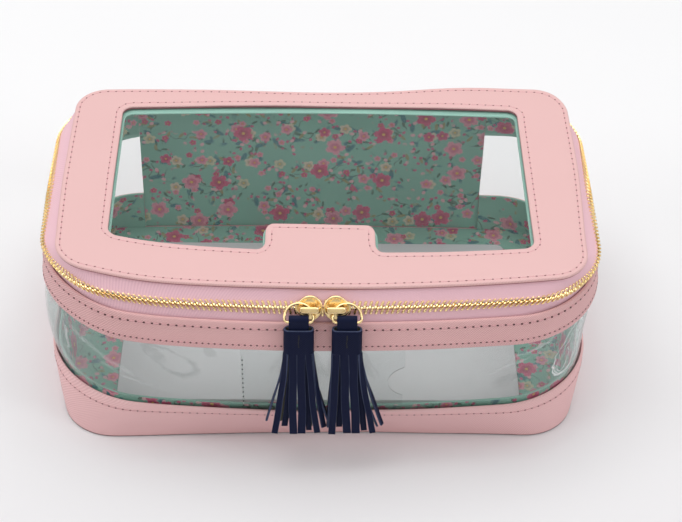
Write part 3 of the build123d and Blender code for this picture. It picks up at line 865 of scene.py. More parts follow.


# Painted highlights and dark reflections of creases in the film: place on it, half width and length, tilt,
# pear shape, line width, strength.
# Pale marks: painted highlights along the creases.
PAINTED_CREASE_HIGHLIGHTS = (
    ((121.5, 49), (8.5, 19.5), -12, 0.4, 0.55, 0.85), ((120.5, 45), (6.2, 14.5), -12, 0.4, 0.4, 0.7),
    ((118.5, 41), (3.4, 7.5), -14, 0.35, 0.4, 0.6), ((126, 60), (2.2, 10.0), -10, 0.2, 0, 0.5),
    ((97, 62), (1.6, 17), -68, 0.0, 0, 0.28), ((88, 53), (1.2, 14), -64, 0.0, 0, 0.22),
    ((-112, 52), (2.4, 26), 62, 0.0, 0, 0.22), ((-133, 48), (1.4, 16), 6, 0.0, 0, 0.35),
    ((-98, 40), (1.4, 18), 70, 0.0, 0, 0.2),
)
# Grey marks: painted dark reflections in the film.
PAINTED_DARK_CREASE_REFLECTIONS = (
    ((-75, 57), (6.6, 14.5), 50, 0.15, 1.5, 0.24), ((-82, 60), (4.2, 9.0), 24, 0.1, 0, 0.2),
    ((-55, 65), (3.2, 4.6), 40, 0.0, 0, 0.15), ((87, 42), (3.6, 11.0), -58, 0.3, 0, 0.2),
    ((-19, 52), (1.0, 13.0), -6, 0.0, 0, 0.3), ((2, 50), (0.9, 10.0), 4, 0.0, 0, 0.25),
)
PINK = cross_hatched("pink_leather", rgb(243, 200, 200), rgb(228, 180, 181), 0.5, 0.06)
# The band's and the lid's copies of the pink leather are toned darker than the base's: painted shade for how
# each part is lit, with their own hatch and relief.
PINK_BAND_SHADED = cross_hatched("pink_leather_band_shaded", rgb(236, 191, 190), rgb(208, 158, 159), 0.5, 0.1, 0.9)
PINK_LID_SHADED = cross_hatched("pink_leather_lid_shaded", rgb(229, 188, 186), rgb(221, 177, 175), 0.48, 0.03)
# Dark cut edge, also a painted shadow line at the bands' foot, beside the film and under the tape.
PINK_EDGE_AND_SHADE = plain_leather_edge("pink_cut_edge_and_shade", rgb(150, 100, 102), rgb(116, 74, 76))
# The lid's cut edge, darkened as a painted shadow under its rim and along the opening's edge.
LID_EDGE_SHADE = plain_leather_edge("lid_cut_edge_and_shade", rgb(176, 122, 126), rgb(140, 88, 94))
# The navy's light hatch tone is a painted highlight on its ridges.
NAVY = cross_hatched("navy_leather", rgb(22, 31, 68), rgb(6, 10, 26), 0.52, 0.1, 0.8, 1.0, 0.12)
FLESH = plain_leather_edge("flesh_side", rgb(122, 118, 104), rgb(84, 82, 74))
NAVY_RIM = plain_leather_edge("navy_cut_edge", rgb(74, 84, 112), rgb(34, 42, 72))
TAPE_CLOTH = twill("zip_tape", rgb(242, 200, 208), rgb(229, 184, 196))
GILT = gilt()
# The window film carries the painted crease highlights and dark reflections.
WINDOW_CLEAR = clear_film("clear_film", (0.955, 0.962, 0.96, 1.0), 0.03, 0.4,
                          ((rgb(236, 242, 242), PAINTED_CREASE_HIGHLIGHTS), (rgb(120, 130, 128), PAINTED_DARK_CREASE_REFLECTIONS)))
LID_CLEAR = clear_film("lid_clear_film", (0.97, 0.975, 0.975, 1.0), 0.012, 0.1)
POCKET_CLEAR = clear_film("pocket_film", (0.975, 0.98, 0.98, 1.0), 0.008, 0.15)
POCKET_EDGE = plain_leather_edge("pocket_film_edge", rgb(128, 134, 134), rgb(96, 102, 102))
PRINT = printed_lining()
HEM = twill("mint_hem", rgb(166, 210, 196), rgb(140, 188, 172))
BOARD = board_face()
THREAD = thread_finish("pink_thread", rgb(234, 186, 188), rgb(208, 152, 158))
# Dark discs in the stitch holes: painted shade inside the needle holes.
HOLE_SHADE = plain_leather_edge("stitch_hole_shade", rgb(96, 58, 58), rgb(66, 38, 40))
SOFT_HOLE_SHADE = plain_leather_edge("soft_stitch_hole_shade", rgb(150, 96, 100), rgb(112, 68, 72))
PALE_THREAD = thread_finish("pale_thread", rgb(208, 214, 212), rgb(176, 182, 180))
GREY_HOLE_SHADE = plain_leather_edge("pocket_stitch_hole_shade", rgb(86, 92, 92), rgb(60, 64, 66))
NAVY_THREAD = thread_finish("navy_thread", rgb(10, 12, 28), rgb(5, 6, 14))


# Stitching

# A stitch's sections: place along it, height and half width; and half the length and width of a hole.
STITCH = ((-1.0, -0.2, 0.12), (-0.75, 0.02, 0.22), (0.0, 0.1, 0.25), (0.75, 0.02, 0.22), (1.0, -0.2, 0.12))
HOLE_LONG = 0.52
HOLE_WIDE = 0.36


def stitch_row(name, path, normals, pitch, body, closed=False, materials=(THREAD, HOLE_SHADE),
               slot="pink_leather", size=1.0, hole=1.0):
    """Thread, and needle holes painted dark as their shade, along a path that lies on the leather."""
    spots = path + [path[0]] if closed else path
    facing = normals + [normals[0]] if closed else normals
    travelled = [0.0]
    for before, after in zip(spots, spots[1:]):
        travelled.append(travelled[-1] + (after - before).length)
    count = int(travelled[-1] / pitch)
    step = travelled[-1] / count
    shape = Shape()
    place = 0
    for index in range(count):
        goal = (index + 0.5) * step
        while travelled[place + 1] < goal:
            place += 1
        share = (goal - travelled[place]) / (travelled[place + 1] - travelled[place])
        up = facing[place].lerp(facing[place + 1], share).normalized()
        middle = spots[place].lerp(spots[place + 1], share)
        along = (spots[place + 1] - spots[place]).normalized()
        side = along.cross(up).normalized()
        half = 0.5 * step - 0.42 * hole
        lean = side * 0.08 * noise.noise(Vector((index * 0.7, pitch, 0.0)))
        sections = []
        for reach, height, width in STITCH:
            centre = middle + along * half * reach + up * height * size + lean * reach
            sections.append([
                centre + (side * cos(k * pi / 3) + up * 0.7 * sin(k * pi / 3)) * width * size
                for k in range(6)
            ])
        shape.solid(sections)
        # Each hole is a dark disc: painted shade in the needle hole.
        pit = middle - along * step / 2
        rim = [pit + (along * cos(k * pi / 4) * HOLE_LONG + side * sin(k * pi / 4) * HOLE_WIDE) * hole
               for k in range(8)]
        shape.solid([[p - up * 0.2 for p in rim], [p + up * 0.1 for p in rim]], pick=1,
                    side_picks=[1] * 8)
    return shape.piece(name, materials, body, slot, smooth_angle=60)


def wall_row(height, stretch, unevenness):
    """Path and outward normals at one height of the bag's wall."""
    path, above = (wall(level, 0.0, stretch, unevenness) for level in (height, height + 0.5))
    return path, [heading(path, index).cross(above[index] - spot).normalized()
                  for index, spot in enumerate(path)]


def back_edge_stitches():
    """Rows up both edges of the back panel."""
    for name, x in (("back_left_stitches", PANEL_LEFT + 3.0), ("back_right_stitches", PANEL_RIGHT - 3.0)):
        path = []
        steps = 39
        for step in range(steps + 1):
            height = 4.0 + 72.0 * step / steps
            centre, radius = level_at(height).arcs()[-1][:2]
            spot = Vector((x, centre[1] + (radius**2 - x * x) ** 0.5, height))
            path.append(eased(spot, *BACK_WANDER))
        stitch_row(name, path, [Vector((0, 1, 0))] * len(path), 3.6, "bag_body",
                   size=0.9, hole=0.9, materials=(THREAD, SOFT_HOLE_SHADE))


# Body shell

SHEET_BASE = 2.0


def base_shell():
    """Base sheet, and the base band curling in under it."""
    section = [(SHEET_BASE, 1.4), (1.2, 1.1), (0.45, 1.5), (0.1, 2.4), (0.0, 4.0)]
    rows = [wall(height, inset, "whole") for height, inset in section]
    under = [Vector((p.x * 0.55, p.y * 0.3, 0.0)) for p in rows[-1]]
    over = [Vector((p.x, p.y, SHEET_BASE)) for p in under]
    shape = Shape()
    rows = [over] + rows + [under]
    shape.cover(shape.grid(rows, loop_columns=True), rows)
    shape.piece("base_sheet", [PINK], "bag_body", "pink_leather", ["base_panel"])

    foot = [(0.35, 2.2), (0.06, 1.2), (0.12, 0.45), (0.45, 0.1), (0.95, 0.0), (1.6, 0.0)]
    body = slab(2.6, BAND_TOP, 0.0, LEATHER, 0.7, 2.5)[:-4]
    section = foot + body + [(2.2, 1.8), (1.4, 2.2)]
    # The foot and the inner top edge take the dark edge material, a painted shadow line.
    sweep(section, "around", BASE_WANDER, edge_picks(section, 1.0, BAND_TOP - 0.3), turn=0).piece(
        "base_band_leather", [PINK, PINK_EDGE_AND_SHADE], "bag_body", "pink_leather", ["base_band"])


# Belly of the film at its left end, slack of the lining at the back left: place, reach and give.
BELLY = ((-135.0, -42.0), (18.0, 38.0), Vector((-2.6, -0.6, 0)))
SLACK_LINING = ((-118.0, 68.0), (26.0, 26.0), Vector((0, 0, -6.0)))


def given(point, limp, share):
    """A point near a limp place, moved by a share of its give."""
    (x, y), (reach_x, reach_y), give = limp
    return point + give * (share * hill((point.x - x) / reach_x, (point.y - y) / reach_y))


def bulges(point):
    """The film bellies out where it bends round its left end."""
    return given(point, BELLY, max(0.0, sin(pi * (point.z - BAND_TOP) / (WINDOW_TOP - BAND_TOP))) ** 0.5)


def hangs_low(point):
    """The upper lining's slack at the back left corner."""
    return given(point, SLACK_LINING, clamped((SEAM - point.z) / 15))


def shell():
    """Leather bands, back panel and clear window band."""
    base_shell()
    section = slab(WINDOW_TOP, SEAM + 0.1, 0.0, LEATHER, 0.7, 2.2)
    # The band's low end and inner top edge take the dark edge material, a painted shadow line.
    picks = edge_picks(section, WINDOW_TOP + 0.3, SEAM - 0.2)
    sweep(section, "around", BAND_WANDER, picks).piece(
        "upper_band_leather", [PINK_BAND_SHADED, PINK_EDGE_AND_SHADE], "bag_body", "pink_leather", ["upper_band"])
    section = slab(2.1, 87.0, 0.0, LEATHER, 0.7, 3.0, (BAND_TOP, WINDOW_TOP, SEAM))
    sweep(section, "behind", BACK_WANDER).piece(
        "back_panel_leather", [PINK], "bag_body", "pink_leather", ["back_panel"])
    section = slab(17.0, 75.0, FILM_INSET, FILM, 0.2, 2.4, (BAND_TOP, WINDOW_TOP))
    sweep(section, "around", FILM_WANDER, extra=bulges).piece(
        "window_film", [WINDOW_CLEAR], "bag_body", "clear_vinyl", ["window_band"], smooth_angle=60)


def lined(low, high, hem_low=False, hem_high=False):
    """Section of a lining whose turned hems are twice as thick, and its material picks."""
    heights = [low + (high - low) * k / 8 for k in range(9)]
    inner = []
    for height in heights:
        hemmed = hem_low and height < low + HEM_DEEP or hem_high and height > high - HEM_DEEP
        inner.append((height, LINING_INSET + LINING * (1.9 if hemmed else 1.0)))
    outer = [(height, LINING_INSET) for height in heights]
    top = [(high + 0.3, LINING_INSET + 0.3), (high + 0.3, inner[-1][1] - 0.3)]
    bottom = [(low - 0.3, inner[0][1] - 0.3), (low - 0.3, LINING_INSET + 0.3)]
    section = outer + top + inner[::-1] + bottom
    picks = [int(hem_low and max(a[0], b[0]) < low + HEM_DEEP
                 or hem_high and min(a[0], b[0]) > high - HEM_DEEP) for a, b in pairs(section)]
    return section, picks


def linings():
    """Printed lining on the floor, bands and back, with rolled hems at the windows."""
    low, picks = lined(2.9, BAND_TOP + 1.7, hem_high=True)
    strip = sweep(low, "around", LINING_WANDER, picks)
    made = strip.piece("base_band_print", [PRINT, HEM], "bag_body", "mint_lining", ["base_band_lining"])
    high, picks = lined(WINDOW_TOP - 1.7, SEAM - 1.8, hem_low=True)
    strip = sweep(high, "around", LINING_WANDER, picks, extra=hangs_low)
    made = strip.piece("upper_band_print", [PRINT, HEM], "bag_body", "mint_lining", ["upper_band_lining"])
    back = slab(2.7, 86.9, FILM_INSET, LINING, 0.2, 3.0, (BAND_TOP, WINDOW_TOP, SEAM))
    strip = sweep(back, "behind", LINING_WANDER)
    made = strip.piece("back_print", [PRINT], "bag_body", "mint_lining", ["back_lining"])

    outline = wall(SHEET_BASE, LINING_INSET, "whole")
    rows = [[Vector((p.x * share, p.y * share, height)) for p in outline]
            for height, shares in ((2.02, (0.02, 0.4, 0.8, 1.0)), (2.6, (1.0, 0.8, 0.4, 0.02)))
            for share in shares]
    shape = Shape()
    shape.cover(shape.frame(rows), rows)
    made = shape.piece("floor_print", [PRINT], "bag_body", "mint_lining", ["floor_lining"])


def board():
    """The loose floor board, with softened edges."""
    shape = Shape()
    rows = []
    for inset, height in ((1.2, 2.62), (0.3, 2.62), (0.0, 2.9), (0.0, 4.2), (0.3, 4.58), (1.2, 4.6)):
        back, front = BOARD_BACK - inset, BOARD_FRONT + inset
        side = BOARD_HALF - inset
        corners = [(x, y, 4.0) for x, y in ((-side, back), (-side, front), (side, front), (side, back))]
        path = rounded(corners, [8] * 4, [30, 50, 30, 50])
        rows.append([Vector((p.x, p.y, height)) for p in path])
    shape.cover(shape.grid(rows, loop_columns=True), rows)
    shape.piece("floor_board_face", [BOARD], "bag_body", "pale_board", ["floor_board"])


def pocket():
    """Clear card pocket with its thumb notch, behind the front window."""
    shape = Shape()
    steps, across = 60, 40
    heights = [POCKET_LOW + (POCKET_TOP - POCKET_LOW) * k / steps for k in range(steps + 1)]
    faces = []
    for inset in (POCKET_INSET + 0.35, POCKET_INSET + 0.65):
        rows = []
        for height in heights:
            off = height - NOTCH_CENTRE[1]
            right = POCKET_RIGHT
            if abs(off) < NOTCH_RADIUS:
                right = min(right, NOTCH_CENTRE[0] - (NOTCH_RADIUS**2 - off * off) ** 0.5)
            rows.append([front_point(POCKET_LEFT + (right - POCKET_LEFT) * k / across, height, inset)
                         for k in range(across + 1)])
        faces.append(rows)
    shape.two_sided(faces)
    made = shape.piece("card_pocket_film", [POCKET_CLEAR, POCKET_EDGE], "bag_body", "clear_vinyl",
                       ["card_pocket"], smooth_angle=60)
    for face in made.data.polygons[-2 * steps:]:
        face.material_index = 1
    heights = [25.0 + 38.0 * k / 20 for k in range(21)]
    path = [front_point(POCKET_LEFT + 0.8, height, FILM_INSET - 0.1) for height in heights]
    stitch_row("pocket_stitches", path, [Vector((0.045, -1, 0)).normalized()] * len(path), 3.3, "bag_body",
               materials=(PALE_THREAD, GREY_HOLE_SHADE), size=0.8, hole=0.95)


# Zip tapes and teeth


def upper_edge(reach):
    """Height on the upper tape at a distance from the line where the rows meet."""
    return ZIP + reach * (TAPE_TOP - ZIP) / hypot(TAPE_TOP - ZIP, UPPER_RUN)


def lower_edge(reach):
    """Height and inset on the lower tape at a distance from the line where the rows meet."""
    drop = reach * (ZIP - SEAM) / hypot(ZIP - SEAM, LOWER_RUN)
    return ZIP - drop, FILM_INSET * drop / (ZIP - SEAM)


def tapes():
    """Twill tapes from the leather to a corded edge between the teeth, on the bag and on the lid."""
    edge = upper_edge(CORD_REACH)
    half = TAPE / 2
    outside = [(edge, -0.2), (edge + 0.15, -0.5), (edge + 0.7, -0.5), (edge + 1.0, -half)]
    outside += [(edge + 1.0 + (TAPE_TOP - edge - 1.0) * k / 7, -half) for k in range(1, 8)]
    section = outside + [(height, -inset) for height, inset in reversed(outside)]
    strip = sweep(section, "around", (0.12, 12.0, 8.0), turn=0)
    made = strip.piece("upper_tape_cloth", [TAPE_CLOTH], "lid", "zip_tape", ["upper_zip_tape"])

    edge, inset = lower_edge(CORD_REACH)
    spots = [(76.0, FILM_INSET), (79.0, FILM_INSET), (SEAM, FILM_INSET)]
    spots += [(SEAM + (edge - SEAM) * k / 5, FILM_INSET + (inset - FILM_INSET) * k / 5) for k in range(1, 5)]
    section = spots + [(edge - 0.5, inset - 0.15), (edge, inset + 0.1), (edge, inset + TAPE - 0.1),
                       (edge - 0.5, inset + TAPE + 0.15)]
    section += [(height, inset + TAPE) for height, inset in reversed(spots)]
    strip = sweep(section, "around", (0.08, 12.0, 9.0), turn=0)
    made = strip.piece("lower_tape_cloth", [TAPE_CLOTH], "bag_body", "zip_tape", ["lower_zip_tape"])


def tooth_planes(edge_height, edge_inset, shift):
    """Seat, row direction and tape direction of each tooth of one row, up to the back panel."""
    planes = []
    travelled = shift
    middle = (PANEL_LEFT + PANEL_RIGHT) / 2
    reach = (PANEL_RIGHT - PANEL_LEFT) / 2 + STOP_ROOM
    for line_arc, edge_arc in zip(level_at(ZIP).arcs()[:-1], level_at(edge_height).arcs(edge_inset)[:-1]):
        length = line_arc[1] * line_arc[3]
        while travelled < length:
            share = travelled / length
            on_line = slumped(on_arc(line_arc, share, ZIP))
            on_edge = slumped(on_arc(edge_arc, share, edge_height))
            turn = line_arc[2] + share * line_arc[3]
            along = Vector((-sin(turn), cos(turn), 0))
            if on_edge.y < 0 or abs(on_edge.x - middle) > reach:
                planes.append((on_line, along, (on_edge - on_line).normalized()))
            travelled += PITCH
        travelled -= length
    return planes


# Levels of a tooth and of an end stop: reach, half width and half depth.
TOOTH = ((-0.85, 0.22, 0.5), (-0.65, 0.42, 1.0), (-0.25, 0.5, 1.3), (0.2, 0.5, 1.3), (0.65, 0.44, 1.0),
         (1.05, 0.52, 0.85), (1.6, 0.58, 0.95), (2.7, 0.6, 1.0), (3.05, 0.52, 0.88), (3.25, 0.3, 0.6))
STOP = ((0.6, 0.9, 0.8), (0.9, 1.2, 1.05), (2.9, 1.2, 1.05), (3.2, 0.9, 0.8))


def cast_block(shape, seat, levels, bevel=None, parted=0.0):
    """A cast piece on the tape, through levels of reach, half width and half depth."""
    spot, along, out = seat
    face = along.cross(out).normalized()
    sections = []
    for reach, w, d in levels:
        centre = spot + out * (reach + parted)
        b = bevel or 0.3 * w
        corners = [(-w, b - d), (b - w, -d), (w - b, -d), (w, b - d), (w, d - b), (w - b, d), (b - w, d),
                   (-w, d - b)]
        sections.append([centre + along * x + face * y for x, y in corners])
    shape.solid(sections)


def teeth(name, planes, body, replaces):
    """One row of cast teeth, opened up a little where the two sliders meet."""
    shape = Shape()
    for seat in planes:
        spot = seat[0]
        parted = MEETING_GAP * hill((spot.x - MEETING_X) / MEETING_REACH) if spot.y < 0 else 0.0
        cast_block(shape, seat, TOOTH, parted=parted)
    return shape.piece(name, [GILT], body, "gold_metal", replaces, smooth_angle=35)


def zip_rows():
    """Both rows of teeth and the end stops."""
    edge, inset = lower_edge(ROW_REACH)
    upper = tooth_planes(upper_edge(ROW_REACH), 0.0, PITCH)
    lower = tooth_planes(edge, inset + TAPE / 2, 1.5 * PITCH)
    teeth("upper_teeth_cast", upper, "lid", ["upper_zip_teeth"])
    teeth("lower_teeth_cast", lower[1:-1], "bag_body", ["lower_zip_teeth"])
    shape = Shape()
    for seat in (lower[0], lower[-1]):
        cast_block(shape, seat, STOP, bevel=0.3)
    shape.piece("end_stops_cast", [GILT], "bag_body", "gold_metal", ["zip_end_stops"])


# Lid

LID_LOW = LID_TOP - LID_LEATHER
PANE_ARCS = [CORNER_STEPS, CORNER_STEPS, 6, 6, 6, 6, CORNER_STEPS, CORNER_STEPS]
PANE_RUNS = [SIDE_STEPS, 20, 4, 24, 4, 20, SIDE_STEPS, BACK_STEPS]


def smooth_step(value, start, end):
    """0 before the start, 1 past the end, and a soft rise between."""
    share = clamped((value - start) / (end - start))
    return share * share * (3 - 2 * share)


def back_wave(point):
    """How far the lid's limp back edge leaves its line: in at the middle, out at the right."""
    return 3.6 * smooth_step(point.x, 30, 90) - 3.0 * hill((point.x + 5) / 45)


def lying(point, skew=0.0):
    """A point of the lid as it lies on the photographed bag, its limp edges a little out of line."""
    forward = -skew * point.x * clamped(-point.y / 45)
    behind = back_wave(point) * smooth_step(point.y, 62, 77)
    aside = 2.0 * smooth_step(point.x, 100, 124) * smooth_step(point.y, -50, 20)
    return slumped(point) + Vector((aside, forward + behind, 0))


def pane_ring(grow, height, back_grow=None):
    """The lid's clear opening with its tab, moved outwards by an amount."""
    back = PANE_BACK + (grow if back_grow is None else back_grow)
    side, front = PANE_HALF + grow, PANE_FRONT - grow
    tab, reach = TAB_HALF - grow, TAB_REACH - grow
    wide, root = max(PANE_CORNER + grow, 0.4), max(TAB_CORNER + grow, 0.4)
    tip = max(TAB_CORNER - grow, 0.5)
    corners = [(-side, back, wide), (-side, front, wide), (-tab, front, root), (-tab, reach, tip),
               (tab, reach, tip), (tab, front, root), (side, front, wide), (side, back, wide)]
    points = []
    for p in rounded(corners, PANE_ARCS, PANE_RUNS):
        bow = 1 - (p.x / PANE_HALF) ** 2
        if p.y > 0:
            y = p.y + PANE_BACK_BOW * bow
        else:
            y = p.y - PANE_FRONT_BOW * bow * clamped((reach - p.y) / (TAB_REACH - PANE_FRONT))
        points.append(lying(Vector((p.x, y, height)), PANE_SKEW))
    return points


FRONT_FIRST = 2 * CORNER_STEPS + SIDE_STEPS
FRONT_COUNT = sum(PANE_RUNS[1:6]) + 24


def fanned(point, reach):
    """Where along the lid's edge a point of the opening's front belongs, the tab's sides fanned out."""
    aside, near, rise = abs(point.x), TAB_HALF - 10, (point.y - PANE_FRONT) / (TAB_REACH - PANE_FRONT)
    if aside > TAB_HALF + 0.01:
        there = near + (aside - TAB_HALF) * (reach - near) / (reach - TAB_HALF)
    elif aside < TAB_HALF - 0.01:
        there = aside * (near - 4) / TAB_HALF
    else:
        there = near - 4 * clamped(rise)
    return copysign(there, point.x)


def lid_ring(inset, height):
    """The lid's outer outline, with its points beside those of the opening."""
    arcs = LID.arcs(inset)
    pane = pane_ring(0.0, 0.0)[FRONT_FIRST:FRONT_FIRST + FRONT_COUNT]
    first, reach = pane[0].x, (pane[-1].x - pane[0].x) / 2
    points = []
    for index, (arc, count) in enumerate(zip(arcs, ARC_STEPS[:3] + [0] + ARC_STEPS[4:] + [BACK_STEPS])):
        if index == 3:
            shares = [max(0.0, 0.5 * (fanned(p, reach) - first) / reach) for p in pane]
        else:
            shares = [step / count for step in range(count)]
        points += [lying(on_arc(arc, share, height)) for share in shares]
    return points


def blend_rows(first, second, share, height):
    """A row between two rows."""
    return [Vector((*a.lerp(b, share).xy, height)) for a, b in zip(first, second)]


def sagging(point):
    """A point of the lid's leather, softly uneven."""
    return point + Vector((0, 0, wander(Vector((point.x, point.y, 0)), 45.0, 0.35, 1.0)))


def lid_frame():
    """The lid's leather frame with its tab, and its stitches."""
    top, low = LID_TOP, LID_LOW
    inner = pane_ring(5.5, top)
    outer = lid_ring(4.6, top)
    edge_low = lid_ring(0.0, low + 0.7)
    rows = [pane_ring(grow, top - down) for grow, down in (
        (0.3, LID_LEATHER), (0.0, LID_LEATHER - 0.4), (0.0, 0.75), (0.14, 0.3), (0.55, 0.06), (1.4, 0),
        (2.3, 0), (3.1, 0.16), (3.9, 0))]
    rows += [inner, blend_rows(inner, outer, 0.33, top), blend_rows(inner, outer, 0.66, top), outer]
    rows += [lid_ring(inset, top - down) for inset, down in (
        (3.1, 0), (2.3, 0.18), (1.5, 0), (0.75, 0.04), (0.25, 0.25), (0.0, 0.7))]
    rows += [edge_low, lid_ring(0.3, low), blend_rows(outer, inner, 0.3, low),
             blend_rows(outer, inner, 0.7, low)]
    # The opening's lowest rows and the rim's lower band take the darkened edge material: painted shadow.
    picks = [int(index < 2 or row is edge_low) for index, row in enumerate(rows)]
    shape = Shape()
    shape.frame([[sagging(p) for p in row] for row in rows], True, picks)
    shape.piece("lid_leather", [PINK_LID_SHADED, LID_EDGE_SHADE], "lid", "pink_leather", ["lid_frame"])

    for name, row, hole in (("pane_stitches", pane_ring(3.1, top - 0.16), 1.0),
                            ("lid_edge_stitches", lid_ring(2.3, top - 0.18), 1.05)):
        stitch_row(name, [sagging(p) for p in row], [Vector((0, 0, 1))] * len(row), 4.1, "lid", closed=True,
                   size=0.85, hole=hole, materials=(THREAD, SOFT_HOLE_SHADE))


def lid_lining():
    """Printed lining under the frame, with a hem round the opening."""
    hem_back = -3.0
    mint = LID_LOW - FILM
    rows = [pane_ring(-1.0, mint, hem_back), pane_ring(-0.9, mint, hem_back + 0.1),
            pane_ring(5.0, mint, 5.0), lid_ring(3.4, mint), lid_ring(3.4, mint - 0.8),
            pane_ring(-0.9, mint - 0.8, hem_back + 0.1), pane_ring(-1.2, mint - 0.4, hem_back - 0.2)]
    shape = Shape()
    shape.frame(rows, True, [1, 1, 0, 0, 0, 1, 1])
    made = shape.piece("lid_print", [PRINT, HEM], "lid", "mint_lining", ["lid_lining"])


def lid_film():
    """Clear pane, which dips a little between its edges."""
    shape = Shape()
    across, deep = 64, 38
    before, beyond, aside = 14.0, 8.0, 5.5
    faces = []
    for drop in (0.05, FILM - 0.05):
        rows = []
        for j in range(deep + 1):
            y = PANE_FRONT - before + (PANE_BACK - PANE_FRONT + before + beyond) * j / deep
            row = []
            for i in range(across + 1):
                x = (PANE_HALF + aside) * (2 * i / across - 1)
                edge = clamped(min(PANE_HALF - abs(x), y - PANE_FRONT, PANE_BACK - y) / 12)
                dip = edge * (0.5 + wander(Vector((x, y, 0)), 60.0, 0.6, 3.0))
                row.append(Vector((x, y, LID_LOW - drop - dip)))
            rows.append(row)
        faces.append(rows)
    shape.two_sided(faces)
    shape.piece("lid_film", [LID_CLEAR], "lid", "clear_vinyl", ["lid_window"], smooth_angle=60)


def hinge_cover():
    """The cloth-backed leather strip that joins the back panel to the lid."""
    section = [(80.2, -1.0), (82.0, -1.1), (85.0, -1.15), (88.0, -1.0), (91.0, -0.5), (94.0, -0.35),
               (94.8, -0.3), (94.8, 0.4), (94.0, 0.35), (91.0, 0.3), (88.0, 0.0), (85.0, -0.15),
               (82.0, -0.15), (80.2, -0.15)]
    # The two bodies, and where the strip's bend from one to the other starts and ends, in metres.
    across_hinge = ("bag_body", "lid", (0, 0.0829, 0.0845), (0, 0.0829, 0.0925))

    def follows(point):
        """The strip keeps to the lid's limp back edge at its top."""
        return point + Vector((0, back_wave(point) * smooth_step(point.z, 86, 94.5), 0))

    sweep(section, "behind", (0.15, 38.0, 11.0), turn=0, extra=follows).piece(
        "back_hinge_cover", [PINK], across_hinge, "pink_leather", ["back_hinge_strip", "lid_back_strip"])


# Sliders and bridges


class Chain:
    """A slider's own directions on the front run of the zip: along, up the slope, and out."""

    def __init__(self, x):
        lean = atan2(UPPER_RUN + LOWER_RUN, TAPE_TOP - SEAM)
        turn = asin(x / FRONT_BOW)
        spin = Matrix.Rotation(turn, 3, "Z")
        self.spot = Vector((x, BOW_CENTRE - FRONT_BOW * cos(turn), ZIP))
        self.out = spin @ Vector((0, -cos(lean), sin(lean)))
        self.along = Vector((cos(turn), sin(turn), 0))
        self.up = self.out.cross(self.along)

    def at(self, along, up, out):
        return self.spot + self.along * along + self.up * up + self.out * out


def teardrop(side, inset):
    """Hull of the wide head's circle and the narrow tail's, drawn in by an inset."""
    count = 56
    head, tail = HEAD_RADIUS - inset, TAIL_RADIUS - inset
    gap = HEAD_OFFSET + TAIL_OFFSET
    tangent = acos((HEAD_RADIUS - TAIL_RADIUS) / gap)
    points = []
    for k in range(count):
        turn = 2 * pi * k / count
        folded = abs((turn + pi) % (2 * pi) - pi)
        if folded > tangent:
            x, y = -HEAD_OFFSET + head * cos(turn), head * sin(turn)
        else:
            x, y = TAIL_OFFSET + tail * cos(turn), tail * sin(turn)
        points.append((side * x, y))
    return points


def slider(name, side):
    """Domed plates joined by a post, with side flanges, and the bridge over the top."""
    chain = Chain(MEETING_X + side * SLIDER_SPACING / 2)
    shape = Shape()

    def plate(levels, scale=1.0):
        shape.solid([[chain.at(x * scale, y * scale + HEAD_UP, out) for x, y in teardrop(side, inset)]
                     for inset, out in levels])

    plate(((0.5, 1.32), (0.12, 1.4), (0.0, 1.6), (0.0, 2.1), (0.14, 2.38), (0.45, 2.52), (0.8, 2.5),
           (1.3, 2.36), (2.2, 2.3)))
    plate(((2.0, -3.05), (0.5, -2.95), (0.0, -2.7), (0.0, -2.2), (0.3, -2.0)), 0.7)
    for way in (-1, 1):
        flange = []
        for k in range(13):
            x = -4.2 + 8.0 * k / 12
            reach_head = HEAD_RADIUS**2 - (x + HEAD_OFFSET) ** 2
            taper = (HEAD_RADIUS - TAIL_RADIUS) / (HEAD_OFFSET + TAIL_OFFSET)
            y = min(max(reach_head, 4.0) ** 0.5, HEAD_RADIUS - (x + HEAD_OFFSET) * taper) - 0.35
            base = chain.at(side * x, way * y + HEAD_UP, 1.5)
            flange.append([base + chain.up * (0.32 * cos(t)) + chain.out * (-0.45 + 0.55 * sin(t))
                           for t in (pi / 4, 3 * pi / 4, 5 * pi / 4, 7 * pi / 4)])
        shape.solid(flange)
    post_x = -side * (HEAD_OFFSET + 0.35 * HEAD_RADIUS)
    post = [[chain.at(post_x + a * 1.2, b * 0.3, out) for a, b in ((-1, 0), (0, -1), (1, 0), (0, 1))]
            for out in (-2.6, 1.6)]
    shape.solid(post)
    shape.piece(f"{name}_slider_cast", [GILT], f"{name}_slider", "gold_metal", [f"{name}_slider"], 50)

    middle = -side * 0.5
    high = PLATE_HIGH + 4.4 + 0.55
    half = 4.3
    bend = 1.7
    path = [(-half, PLATE_HIGH - 0.1), (-half, PLATE_HIGH + 1.4)]
    path += [(-half + bend * (1 - cos(t)), high - bend + bend * sin(t))
             for t in (0.0, pi / 8, pi / 4, 3 * pi / 8, pi / 2)]
    path += [(-1.0, high + 0.12), (0.0, high + 0.15)]
    path += [(-x, out) for x, out in reversed(path[:-1])]
    spots = [chain.at(middle + x, 0.2, out) for x, out in path]
    taper = [(1.0, 1.25)] * 3 + [(1.0, 1.1)] * (len(path) - 6) + [(1.0, 1.25)] * 3
    arch = Shape()
    arch.solid(along_path(spots, [chain.up] * len(spots), strap_section(3.0, 1.15, 0.36), taper))
    arch.piece(f"{name}_bridge_cast", [GILT], f"{name}_slider", "gold_metal", [f"{name}_slider_bridge"], 50)
    return chain


# Tassels

BAND_HALF = 7.0
BAND_DEEP = 2.4
BAND_BACK = -0.4
BAND_TOP_END = 3.0
SLIT_START = 16.2
STRIP = 1.0

